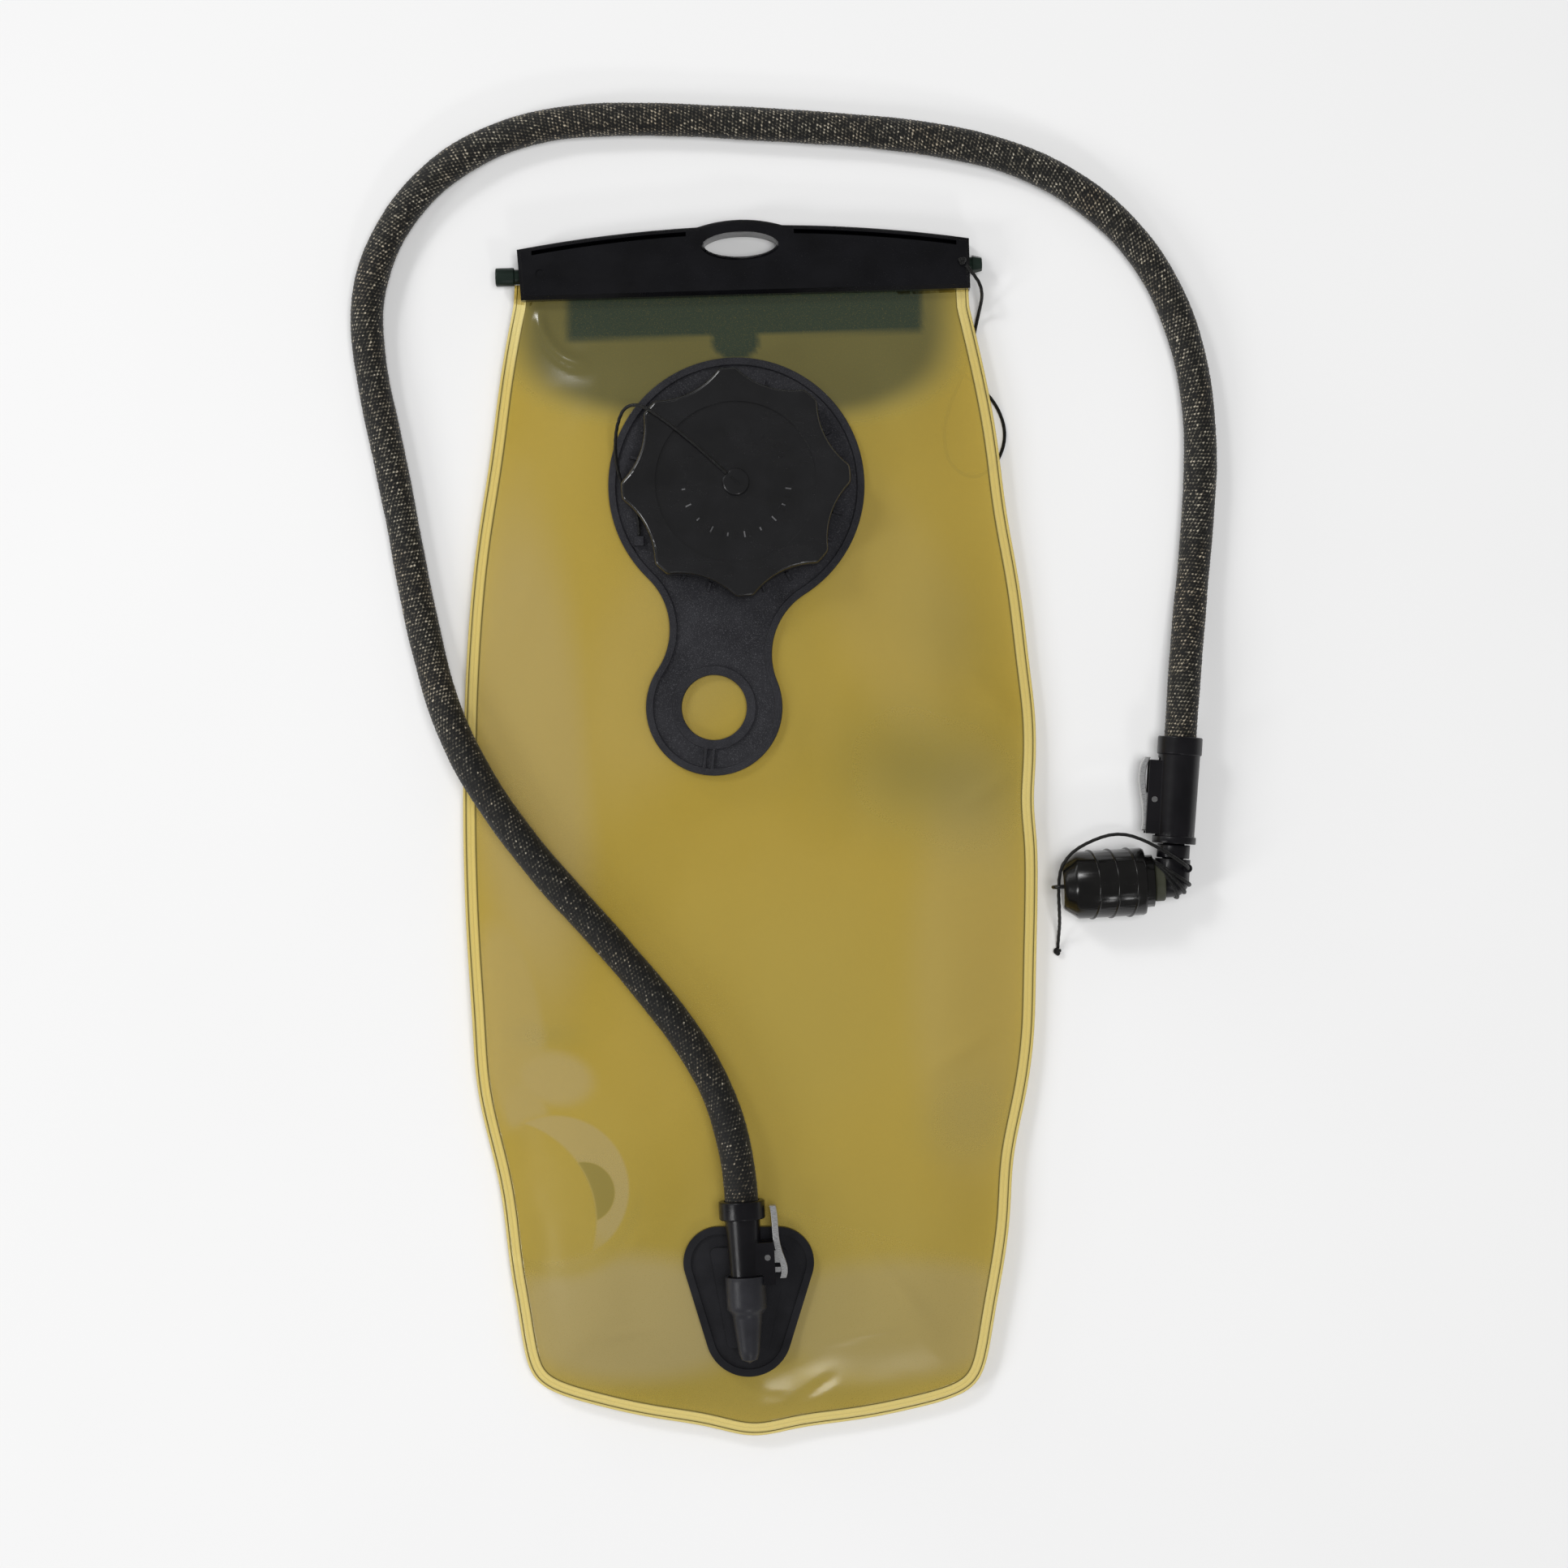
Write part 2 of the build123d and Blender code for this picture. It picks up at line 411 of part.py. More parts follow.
def screw_cap():
    body = extrude(star_outline(), CAP_TOP - CAP_BOTTOM)
    body = fillet(body.edges().group_by(Axis.Z)[-1], CAP_EDGE)
    body = Pos(0, 0, CAP_BOTTOM) * body
    body -= disc(CAP_BORE, CAP_BOTTOM, CAP_CEILING)
    body -= disc(DISC_RADIUS, DISC_TOP, CAP_TOP)
    body -= disc(STEM_RADIUS + STEM_PLAY, CAP_CEILING, DISC_TOP)
    tick = block((DIAL_RADIUS, DIAL_RADIUS + TICK_LENGTH), (-TICK_WIDTH / 2, TICK_WIDTH / 2),
                 (DISC_TOP, DISC_TOP + TICK_DEPTH))
    for index in range(DIAL_TICKS):
        body += Rot(0, 0, index * 360 / DIAL_TICKS) * tick
    return Pos(*PORT_CENTRE, 0) * body


def cap_seal():
    seal = disc(CAP_BORE, CAP_CEILING - SEAL_THICK, CAP_CEILING)
    return Pos(*PORT_CENTRE, 0) * (seal - disc(SEAL_INNER, CAP_CEILING - SEAL_THICK, CAP_CEILING))


def cap_button():
    head_low = DISC_TOP + AXIAL_PLAY
    head = fillet(disc(BUTTON_RADIUS, head_low, BUTTON_TOP).edges().group_by(Axis.Z)[-1], 0.8)
    head -= Rot(0, 0, BUTTON_ANGLE) * block((BUTTON_FLAT, BUTTON_FLAT + 3), (-6, 6), (head_low, BUTTON_TOP))
    head -= Rot(0, 0, BUTTON_ANGLE) * block((-2.6, 2.6), (-0.6, 0.6), (BUTTON_TOP - 0.8, BUTTON_TOP))
    stem = disc(STEM_RADIUS, CAP_CEILING - AXIAL_PLAY - CLIP_THICK, head_low)
    return Pos(*PORT_CENTRE, 0) * (head + stem)


def cap_button_clip():
    low, high = CAP_CEILING - AXIAL_PLAY - CLIP_THICK, CAP_CEILING - AXIAL_PLAY
    return Pos(*PORT_CENTRE, 0) * (disc(CLIP_RADIUS, low, high) - disc(STEM_RADIUS, low, high))


# ---------- outlet ----------
def outlet_outline():
    top_y = OUTLET_REACH - OUTLET_TOP_ARC
    top_x = OUTLET_HALF - OUTLET_TOP_ARC
    discs = Pos(-top_x, top_y) * Circle(OUTLET_TOP_ARC) + Pos(top_x, top_y) * Circle(OUTLET_TOP_ARC)
    discs += Pos(0, OUTLET_LOW_ARC - OUTLET_REACH) * Circle(OUTLET_LOW_ARC)
    return make_hull(discs.edges()).faces()[0]


def outlet_base():
    outline = outlet_outline()
    top = BELLY_Z + FLANGE_THICK
    body = Pos(0, 0, BELLY_Z) * extrude(outline, FLANGE_THICK)
    body += Pos(0, 0, top) * raised_bead(outline, BEAD_WIDTH, BEAD_HEIGHT)
    island = make_face(Polyline(ISLAND, close=True))
    island = fillet(island.vertices(), ISLAND_CORNER)
    body += Pos(0, 0, top) * extrude(island, ISLAND_TOP - top)
    riser = PORT_FRAME.from_local_coords(Vector(0, 0, RISER_AT))
    return Pos(*OUTLET_CENTRE, 0) * body - disc(NIPPLE_RADIUS, BELLY_Z, ISLAND_TOP, (riser.X, riser.Y))


def nipple_outside():
    """Outside of the outlet's nipple: a spigot along the connector's axis with a riser to the film."""
    riser = PORT_FRAME.from_local_coords(Vector(0, 0, RISER_AT))
    spigot = PORT_FRAME.location * disc(NIPPLE_RADIUS, NIPPLE_TIP, RISER_AT + NIPPLE_RADIUS)
    return spigot + disc(NIPPLE_RADIUS, BELLY_Z, PORT_AXIS_Z, (riser.X, riser.Y))


def o_ring(tip):
    return Pos(0, 0, tip + O_RING_AT) * Torus(GROOVE_FLOOR + O_RING_RADIUS, O_RING_RADIUS)


def ring_groove(tip):
    low, high = tip + O_RING_AT - 0.8, tip + O_RING_AT + 0.8
    return disc(NIPPLE_RADIUS + 1, low, high) - disc(GROOVE_FLOOR, low, high)


def outlet_nipple():
    riser = PORT_FRAME.from_local_coords(Vector(0, 0, RISER_AT))
    water = PORT_FRAME.location * disc(WATERWAY, NIPPLE_TIP, RISER_AT)
    water += disc(WATERWAY, BELLY_Z, PORT_AXIS_Z, (riser.X, riser.Y))
    return nipple_outside() - water - PORT_FRAME.location * ring_groove(NIPPLE_TIP)


def outlet_boot():
    profile = [(0, BOOT[0][0])] + [(radius, along) for along, radius in BOOT]
    body = PORT_FRAME.location * turned(profile)
    first, last = BOOT_FOOT
    foot_plan = [(-7.6, first), (7.6, first), (5.8, 46.0), (4.1, last), (-4.1, last), (-5.8, 46.0), (-7.6, 43.0)]
    low = Vector(0, 0, ISLAND_TOP - PORT_AXIS_Z)
    plane = Plane(origin=PORT_FRAME.origin + low, x_dir=PORT_FRAME.x_dir, z_dir=(0, 0, 1))
    outline = Polyline([(x, -along) for x, along in foot_plan], close=True)
    foot = extrude(plane * make_face(outline), PORT_AXIS_Z - ISLAND_TOP)
    below = block((-60, 60), (-250, -150), (0, ISLAND_TOP))
    mouth = PORT_FRAME.location * disc(BOOT_MOUTH, BOOT[0][0], BOOT[0][0] + BOOT_MOUTH_DEPTH)
    return body + foot - below - mouth - nipple_outside()


# ---------- quick connectors ----------
def connector(length, barrel, pin_at, cheek_span):
    """Female connector in its own frame: hose barb, socket, and two cheeks that carry the lever's pin."""
    near, far = barrel
    body = turned([(0, 0), (near, 0), (near, COLLAR_RING_LENGTH), (far, length), (0, length)])
    cheek_low, cheek_high = cheek_span
    body += block((0, CHEEK_REACH), (-CHEEK_HALF, CHEEK_HALF), (cheek_low, cheek_high))
    body += disc(BARB_RADIUS, -BARB_LENGTH, 0)
    body -= block((6.6, CHEEK_REACH + 1), (-CHEEK_GAP, CHEEK_GAP), (cheek_low - 1, cheek_high + 1))
    tooth_low = pin_at + TOOTH_AT
    half = TOOTH_HALF + WINDOW_PLAY[0]
    window = (tooth_low - WINDOW_PLAY[1], tooth_low + TOOTH_LENGTH + WINDOW_PLAY[1])
    body -= block((0, CHEEK_REACH), (-half, half), window)
    body -= disc(SOCKET_RADIUS, SOCKET_START, length)
    body -= disc(WATERWAY, -BARB_LENGTH, SOCKET_START)
    return body - pin_shape(pin_at)


def port_connector():
    """The outlet's connector, its cheeks cut back round the boot."""
    body = connector(PORT_LENGTH, PORT_BARREL, PORT_PIN, (PORT_PIN - 6.0, PORT_LENGTH))
    low = BOOT[0][0] - BOOT_RELIEF
    relief = disc(BOOT[0][1] + BOOT_RELIEF, low, PORT_LENGTH)
    relief -= disc(BOOT_MOUTH - BOOT_RELIEF, low, PORT_LENGTH)
    return PORT_FRAME.location * (body - relief)


def pin_shape(pin_at):
    """Hinge pin of a lever, across the two cheeks."""
    return Pos(PIN_X, 0, pin_at) * Rot(90, 0, 0) * Cylinder(PIN_RADIUS, 2 * CHEEK_HALF + 0.4)


def edge_at(edge, along):
    """How far out a lever's outer edge is at a place along it."""
    for (x_a, a), (x_b, b) in zip(edge, edge[1:]):
        if a <= along <= b:
            return x_a + (x_b - x_a) * (along - a) / (b - a)
    raise ValueError("the lever doesn't reach this place")


def lever(edge, pin_at):
    """Sprung lever: a curved strip with a lobe round its pin and a latch tooth."""
    side = Plane(origin=(0, LEVER_HALF, pin_at), x_dir=(1, 0, 0), z_dir=(0, -1, 0))
    outer = Spline([(x, along) for x, along in edge])
    inner = Spline([(x - LEVER_THICK, along) for x, along in edge])
    strip = make_face([outer, Line(outer @ 0, inner @ 0), inner, Line(outer @ 1, inner @ 1)])
    body = extrude(side * strip, 2 * LEVER_HALF)
    inside = LEVER_THICK * 0.6
    lobe = Pos(PIN_X, 0, pin_at) * Rot(90, 0, 0) * Cylinder(LEVER_LOBE, 2 * LEVER_HALF)
    web = (PIN_X, edge_at(edge, 0) - inside)
    body += lobe + block(web, (-LEVER_HALF, LEVER_HALF), (pin_at - LEVER_LOBE, pin_at + LEVER_LOBE))
    tooth_low = pin_at + TOOTH_AT
    tooth = (TOOTH_TIP, edge_at(edge, TOOTH_AT + TOOTH_LENGTH / 2) - inside)
    body += block(tooth, (-TOOTH_HALF, TOOTH_HALF), (tooth_low, tooth_low + TOOTH_LENGTH))
    return body - Pos(PIN_X, 0, pin_at) * Rot(90, 0, 0) * Cylinder(PIN_RADIUS + RING_PLAY, 2 * LEVER_HALF + 1)


def hose_collar(barrel_radius, outer):
    bore = max(barrel_radius, SLEEVE_RADIUS) + RING_PLAY
    ring = disc(outer, -COLLAR_RING_LEAD, COLLAR_RING_LENGTH)
    ring = fillet(ring.edges().filter_by(GeomType.CIRCLE), 0.7)
    return ring - disc(bore, -COLLAR_RING_LEAD, COLLAR_RING_LENGTH)


# ---------- valve ----------
def valve_end_ring():
    low, high = END_RING_SPAN
    return disc(END_RING_RADIUS, low, high) - disc(SOCKET_RADIUS, low, high)


def valve_nipple():
    low, high = NECK_SPAN
    body = disc(NIPPLE_RADIUS, NIPPLE_TIP, ELBOW_TOP + 4.0) + disc(NECK_RADIUS, low, high)
    return body - disc(WATERWAY, NIPPLE_TIP, ELBOW_TOP + 4.0) - ring_groove(NIPPLE_TIP)


def elbow_outside():
    upper = VALVE_FRAME.location * disc(ELBOW_RADIUS, ELBOW_TOP, ELBOW_REACH)
    spigot = disc(ELBOW_RADIUS, 0, VALVE_RING_SPAN[0]) + disc(SPIGOT_RADIUS, 0, SPIGOT_END)
    branch = MOUTH_FRAME.location * spigot
    hook = disc(HOOK_RADIUS, VALVE_AXIS_Z, HOOK_TOP, HOOK_PLACE)
    return upper + branch + Pos(*CORNER) * Sphere(ELBOW_RADIUS) + hook


def valve_elbow():
    socket = VALVE_FRAME.location * disc(SOCKET_RADIUS, ELBOW_TOP, ELBOW_TOP + 4.4)
    water = VALVE_FRAME.location * disc(ELBOW_WATERWAY, ELBOW_TOP, ELBOW_REACH)
    water += MOUTH_FRAME.location * disc(ELBOW_WATERWAY, 0, SPIGOT_END)
    return elbow_outside() - socket - water


def valve_ring():
    low, high = VALVE_RING_SPAN
    ring = fillet(disc(VALVE_RING_RADIUS, low, high).edges().filter_by(GeomType.CIRCLE), 0.8)
    neck = VALVE_FRAME.location * disc(ELBOW_RADIUS, NECK_SPAN[0], ELBOW_TOP)
    return MOUTH_FRAME.location * ring - elbow_outside() - neck


def bite_mouthpiece():
    wall = [(radius, along) for along, radius in MOUTHPIECE]
    profile = [(0, wall[0][1])] + wall + [(0, wall[-1][1])]
    body = turned(profile)
    body -= disc(MOUTHPIECE_SOCKET, MOUTHPIECE[0][0], SOCKET_END)
    body -= disc(BITE_BORE, SOCKET_END, BITE_END)
    half = BITE_SLIT / 2
    return MOUTH_FRAME.location * (body - block((-half, half), (-4.2, 4.2), (BITE_END, MOUTHPIECE[-1][0])))


def valve_shield():
    """Dirt cover over the mouthpiece, with slanted ribs and a cord loop on its closed end."""
    profile = [(0, SHIELD[0][0])] + [(radius, along) for along, radius in SHIELD] + [(0, SHIELD[-1][0])]
    body = turned(profile)
    outer = SHIELD[3][1]
    for index in range(SHIELD_RIBS):
        along = RIB_FIRST + index * RIB_STEP
        body += Pos(0, 0, along) * Rot(0, RIB_LEAN, 0) * Torus(outer, RIB_RADIUS)
    body += Pos(LOOP_UP, 0, LOOP_AT) * Rot(90, 0, 0) * Torus(LOOP_MAJOR, LOOP_MINOR)
    body -= disc(SHIELD_NECK_BORE, SHIELD[0][0], SHIELD_NECK_END)
    body -= disc(SHIELD_BORE, SHIELD_NECK_END, SHIELD_FLOOR)
    return MOUTH_FRAME.location * body


def end_knot(place):
    """Small knot resting on the surface."""
    x, y, z = place
    return Pos(x, y, z) * Sphere(END_KNOT_RADIUS) - block((x - 9, x + 9), (y - 9, y + 9), (-9, 0))


def shield_tethers():
    """The shield's cord in two solids, one on the elbow and one on the shield, meeting inside a straight run."""
    upper, lower = SHIELD_TETHER_ROUTE[:SHIELD_TETHER_SPLIT], SHIELD_TETHER_ROUTE[SHIELD_TETHER_SPLIT:]
    join = tuple((before + after) / 2 for before, after in zip(upper[-1], lower[0]))
    upper, lower = upper + [join], [join] + lower
    tail = swept_tube("shield_tether_tail", lower, CORD_RADIUS)
    return swept_tube("shield_tether", upper, CORD_RADIUS), tail


# ---------- assembly ----------
def build_nodes():
    port, valve = PORT_FRAME.location, VALVE_FRAME.location
    tether, tail = shield_tethers()
    valve_cheeks = (VALVE_PIN - 16.0, VALVE_LENGTH - 3.5)
    x, y, _ = SHIELD_TETHER_ROUTE[-1]
    knot = end_knot((x, y - END_KNOT_RADIUS * 0.8, END_KNOT_RADIUS * 0.8))
    return {
        "front_film": front_film(),
        "back_film": back_film(),
        "closing_rod": closing_rod(),
        "slide_closure": slide_closure(),
        "closure_tether": swept_tube("closure_tether", CLOSURE_TETHER_ROUTE, CORD_RADIUS),
        "closure_tether_knot": closure_tether_knot(),
        "tether_anchor": tether_anchor(),
        "fill_port": fill_port(),
        "screw_cap": screw_cap(),
        "cap_seal": cap_seal(),
        "cap_button": cap_button(),
        "cap_button_clip": cap_button_clip(),
        "cap_tether": swept_tube("cap_tether", CAP_TETHER_ROUTE, CORD_RADIUS),
        "outlet_base": outlet_base(),
        "outlet_nipple": outlet_nipple(),
        "outlet_o_ring": port * o_ring(NIPPLE_TIP),
        "outlet_boot": outlet_boot(),
        "port_connector": port_connector(),
        "port_hose_collar": port * hose_collar(PORT_BARREL[0], COLLAR_RING),
        "port_lever": port * lever(PORT_LEVER, PORT_PIN),
        "port_lever_pin": port * pin_shape(PORT_PIN),
        "hose_tube": swept_tube("hose_tube", HOSE_ROUTE, TUBE_RADIUS, TUBE_BORE),
        "hose_sleeve": swept_tube("hose_sleeve", HOSE_ROUTE, SLEEVE_RADIUS, SLEEVE_BORE),
        "valve_connector": valve * (connector(VALVE_LENGTH, VALVE_BARREL, VALVE_PIN, valve_cheeks) + valve_end_ring()),
        "valve_hose_collar": valve * hose_collar(VALVE_BARREL[0], VALVE_BARREL[0] + 0.6),
        "valve_lever": valve * lever(VALVE_LEVER, VALVE_PIN),
        "valve_lever_pin": valve * pin_shape(VALVE_PIN),
        "valve_nipple": valve * valve_nipple(),
        "valve_o_ring": valve * o_ring(NIPPLE_TIP),
        "valve_elbow": valve_elbow(),
        "valve_ring": valve_ring(),
        "bite_mouthpiece": bite_mouthpiece(),
        "valve_shield": valve_shield(),
        "shield_tether": tether,
        "shield_tether_tail": tail,
        "shield_tether_knot": knot - tail,
    }


os.makedirs("parts", exist_ok=True)
for node, solid in build_nodes().items():
    export_step(solid, f"parts/{node}.step")
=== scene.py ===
"""Looks of a hydration bladder: translucent film bag, woven hose sleeve, cords and moulded plastic.

Metres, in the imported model's frame: +Z up out of the surface it lies on, +Y towards the closure, +X right.
"""

import json
import math

import bmesh
import bpy
import numpy as np
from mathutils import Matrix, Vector


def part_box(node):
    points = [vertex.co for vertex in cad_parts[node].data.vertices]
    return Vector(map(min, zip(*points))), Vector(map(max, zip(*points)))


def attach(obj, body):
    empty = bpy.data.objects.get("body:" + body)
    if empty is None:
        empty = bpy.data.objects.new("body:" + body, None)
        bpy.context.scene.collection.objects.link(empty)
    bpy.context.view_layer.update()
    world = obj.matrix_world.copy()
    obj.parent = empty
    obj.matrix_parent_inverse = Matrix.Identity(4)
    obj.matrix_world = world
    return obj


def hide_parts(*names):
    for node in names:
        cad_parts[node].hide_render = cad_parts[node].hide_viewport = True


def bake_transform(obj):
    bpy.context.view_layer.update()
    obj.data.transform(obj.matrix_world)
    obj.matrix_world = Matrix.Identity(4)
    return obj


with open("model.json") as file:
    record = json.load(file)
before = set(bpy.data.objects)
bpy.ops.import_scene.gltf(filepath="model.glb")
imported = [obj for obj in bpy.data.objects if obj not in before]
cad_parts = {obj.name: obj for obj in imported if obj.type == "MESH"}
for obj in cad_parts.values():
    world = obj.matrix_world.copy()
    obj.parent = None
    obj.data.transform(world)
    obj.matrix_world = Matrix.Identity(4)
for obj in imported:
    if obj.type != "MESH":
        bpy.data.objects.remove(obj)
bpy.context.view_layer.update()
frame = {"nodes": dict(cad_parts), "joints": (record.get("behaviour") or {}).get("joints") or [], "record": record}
NODES = frame["nodes"]
JOINTS = {joint["name"]: joint for joint in frame["joints"]}
MOUNTS = {mount["name"]: mount for mount in frame["record"]["mounts"]}
MM = 0.001

# ---------- places and sizes read from the frame ----------
PORT_CENTRE = JOINTS["cap_turn"]["pos_m"][:2]
PORT_LOW, PORT_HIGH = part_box("fill_port")
FLANGE_RADIUS = (PORT_HIGH.x - PORT_LOW.x) / 2
GRIP_CENTRE = MOUNTS["grip_ring"]["pos_m"][:2]
OUTLET_LOW, OUTLET_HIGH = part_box("outlet_base")
OUTLET_CENTRE, OUTLET_REACH = (OUTLET_LOW + OUTLET_HIGH) / 2, (OUTLET_HIGH - OUTLET_LOW) / 2
SLIDE_AXIS = JOINTS["closure_slide"]["axis"]
CLOSURE_TILT = math.atan2(-SLIDE_AXIS[1], -SLIDE_AXIS[0])
CAP_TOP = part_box("screw_cap")[1].z
FILM_LOW, FILM_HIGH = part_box("front_film")
SEAM_Z, PLATE_UNDER = FILM_LOW.z, FILM_HIGH.z - 0.0002      # the weld, and the film under the moulded plates

# ---------- the bag's plan and heights ----------
LEFT_SIDE = [(-0.0968, 0.213), (-0.1174, 0.0), (-0.0915, -0.213)]
RIGHT_SIDE = [(0.0895, 0.213), (0.1174, -0.027), (0.097, -0.213)]
BOTTOM_EDGE = [(-0.07, -0.234), (0.002, -0.245), (0.085, -0.2325)]
SIDE_SPAN, BOTTOM_SPAN = (0.213, -0.19), (-0.058, 0.062)    # where the side and bottom arcs end at a corner
CORNER_PULL = 0.62
TAB_X, TAB_BLEND, TAB_DROP = 0.0015, 0.016, 0.0035
CLOSURE_CENTRE = (-0.0038, 0.2276)
MOUTH_HALF, FOLD_RADIUS, FOLD_STEPS, FOLD_SPREAD = 0.0926, 0.0034, 12, 0.0003
FRONT_TOP, BACK_LOW = 0.0147, 0.0009
BELLY_RISE = 0.036           # how far in from the weld the film reaches its height
MOUTH_FLAT, MOUTH_RISE = 0.0115, 0.038
FILM_THICK = 0.00045
WELD_WIDTH = 0.0052
HOLE_RADIUS = 0.0375         # opening of the front film under the cap
GRIP_RADIUS, WAIST_HALF, OUTLET_SCALE = 0.0277, 0.022, 0.026
PLATE_GAP, PLATE_BLEND = 0.002, 0.022
# slight waves of the outline: side, place along Y, how far in, half length
EDGE_DENTS = [
    (-1, -0.15, 0.0022, 0.026), (-1, -0.105, -0.0012, 0.022), (-1, 0.15, 0.0012, 0.03),
    (1, 0.045, -0.001, 0.02), (1, 0.01, 0.0012, 0.014), (1, -0.135, 0.0024, 0.022),
    (1, -0.085, -0.001, 0.024), (1, 0.13, 0.0016, 0.026),
]
# rings of the welded border, millimetres: distance in from the edge, height over the film's own level
WELD_RINGS = [
    (0.0, -0.25), (0.15, 0.0), (0.45, 0.2), (0.8, 0.2), (1.05, 0.1), (1.2, -0.2), (1.35, 0.1), (1.6, 0.28),
    (2.3, 0.34), (3.1, 0.3), (3.3, 0.22), (3.5, 0.3), (4.3, 0.34), (4.75, 0.28), (4.95, 0.05), (5.15, -0.2),
    (5.35, 0.05), (5.8, 0.12), (6.6, 0.0), (7.6, 0.0), (9.0, 0.0),
]
SIDE_ROWS, BOTTOM_COLUMNS = 230, 112
# slack waves of the film: radians per metre along X and Y, phase, share
WAVES = [(61, 23, 0.0, 1.0), (-19, 47, 1.3, 1.0), (97, -71, 0.6, 0.6)]
FRONT_WAVE, BACK_WAVE, SEAM_WAVE = 0.0007, 0.0004, 0.0009
# creases: from, to, half width, height
CREASES = [
    ((-0.075, 0.1912), (-0.059, 0.193), 0.0016, 0.0006),
    ((-0.0486, -0.1719), (-0.0444, -0.1655), 0.0011, 0.0008),
    ((-0.0444, -0.1655), (-0.0338, -0.1624), 0.0011, 0.0008),
    ((-0.0603, -0.208), (-0.039, -0.2032), 0.0012, 0.0008),
    ((-0.039, -0.2032), (-0.0182, -0.2068), 0.0012, 0.0008),
    ((0.026, -0.21), (0.06, -0.203), 0.0014, 0.0008),
    ((0.045, -0.17), (0.075, -0.205), 0.004, 0.0012),
    ((0.072, -0.1), (0.1, -0.082), 0.004, 0.001),
    ((0.034, -0.224), (0.02, -0.234), 0.0014, 0.001),
    ((0.088, 0.01), (0.108, 0.022), 0.004, 0.0012),
    ((0.092, 0.06), (0.112, 0.04), 0.005, 0.001),
    ((-0.102, 0.06), (-0.09, 0.105), 0.006, 0.001),
    ((-0.006, -0.2325), (0.014, -0.2325), 0.0014, 0.0012),
]
# the curved crease below the closure's left end: its arc, the disc that bounds it, half width and height
RIDGE_ARC, RIDGE_SPAN, RIDGE_SOFT = ((-0.063, 0.2115), 0.0237), ((-0.0785, 0.1968), 0.015), 0.008
RIDGE_HALF, RIDGE_HEIGHT = 0.0042, 0.0016

# ---------- the film's tones by place ----------
# where the two films touch, greyer and paler with a painted sheen: centre, radii, turn, amount, softness
TOUCHING_SHEEN = [
    ((-0.09, 0.03), (0.024, 0.1), 4.0, 0.65, 0.7),
    ((-0.098, -0.08), (0.014, 0.045), 6.0, 0.6, 0.5),
    ((-0.08, -0.102), (0.016, 0.011), -10.0, 0.8, 0.55),
    ((-0.092, -0.115), (0.009, 0.013), 20.0, 0.7, 0.6),
    ((-0.05, -0.2), (0.052, 0.026), 0.0, 0.8, 0.5),
    ((0.062, -0.2), (0.058, 0.024), 0.0, 0.6, 0.5),
    ((0.09, -0.06), (0.024, 0.08), 0.0, 0.3, 0.7),
    ((0.06, 0.09), (0.026, 0.05), 20.0, 0.2, 0.8),
    ((-0.03, 0.075), (0.03, 0.07), -30.0, 0.25, 0.8),
]
# patches of painted shade, where the film looks darker: centre, radii, turn, amount
SHADED = [
    ((0.074, 0.022), (0.042, 0.026), -14.0, 0.42),
    ((0.078, 0.082), (0.022, 0.034), 20.0, 0.14),
    ((0.088, -0.12), (0.03, 0.026), 30.0, 0.16),
    ((0.052, -0.196), (0.05, 0.03), 20.0, 0.16),
    ((-0.0816, -0.0848), (0.015, 0.006), 0.0, 0.16),
    ((0.0, -0.23), (0.085, 0.012), 0.0, 0.24),
    ((-0.06, -0.205), (0.04, 0.022), 0.0, 0.14),
    ((0.03, -0.08), (0.055, 0.06), 0.0, 0.1),
    ((0.0, -0.215), (0.15, 0.075), 0.0, 0.26),
]
# the closure's painted shadow on the film below it: its lower edge and two ends with their soft widths, and a
# round bump below its middle
SHADOW_LOW, SHADOW_LEFT, SHADOW_RIGHT = (0.031, 0.005), (-0.088, 0.016), (0.08, 0.012)
SHADOW_BUMP = ((-0.006, 0.198), (0.012, 0.009), 0, 0.6)
# the painted soft shadow round it, a rounded rectangle: centre, reach, power of its corners, edge and softness
SHADE_CENTRE, SHADE_REACH, SHADE_POWER, SHADE_EDGE = (-0.007, 0.212), (0.091, 0.047), 3, (1.12, 0.26)
# how dark each painted shade is: the closure's shadow, the soft shadow round it, and the belt
SHADOW_DARK, SHADE_DARK, BELT_SHADE = 0.985, 0.8, 0.22
BACK_TAN, BACK_SHADE = 0.4, 0.55
# the fold round the rod under the closure: its tones, with some painted shade
FOLD_TONES = {"edge": 0.03, "tan": 0.0, "deep": 0.3}
# the crescent where the films stick at the lower left: circles by centre and radius, and their soft edges
CRESCENT_OUTER, CRESCENT_INNER = ((-0.079, -0.147), 0.0297), ((-0.103, -0.16), 0.0405)
HALF_MOON, CRESCENT_LOW = ((-0.0675, -0.1485), 0.0125), ((-0.07, -0.187), 0.02)
OUTER_SOFT, INNER_SOFT, MOON_SOFT, LOW_SOFT = 0.0016, 0.0014, 0.001, 0.014
CRESCENT_TAN, CRESCENT_FADE, MOON_DARK = 0.8, 0.6, 0.5
# the shaded belt under the crescent: gap from it, half width, and where along Y it fades out
BELT_GAP, BELT_HALF, BELT_TOP, BELT_FADE = 0.0042, 0.0034, -0.16, 0.03

# ---------- the film's colours ----------
FILM_BODY = [(0.36, (0.59, 0.455, 0.096)), (0.5, (0.635, 0.495, 0.12)), (0.66, (0.645, 0.51, 0.13))]
# the paler tone with a painted sheen, the dark green of the painted shade, and dust
FILM_TAN, FILM_PAINTED_SHADE, FILM_DUST = (0.64, 0.535, 0.275), (0.02, 0.034, 0.024), (0.3, 0.22, 0.04)
FILM_BAND, FILM_LINE, FILM_WINDOW = (0.96, 0.83, 0.36), (0.17, 0.13, 0.03), (0.95, 0.9, 0.62, 1.0)
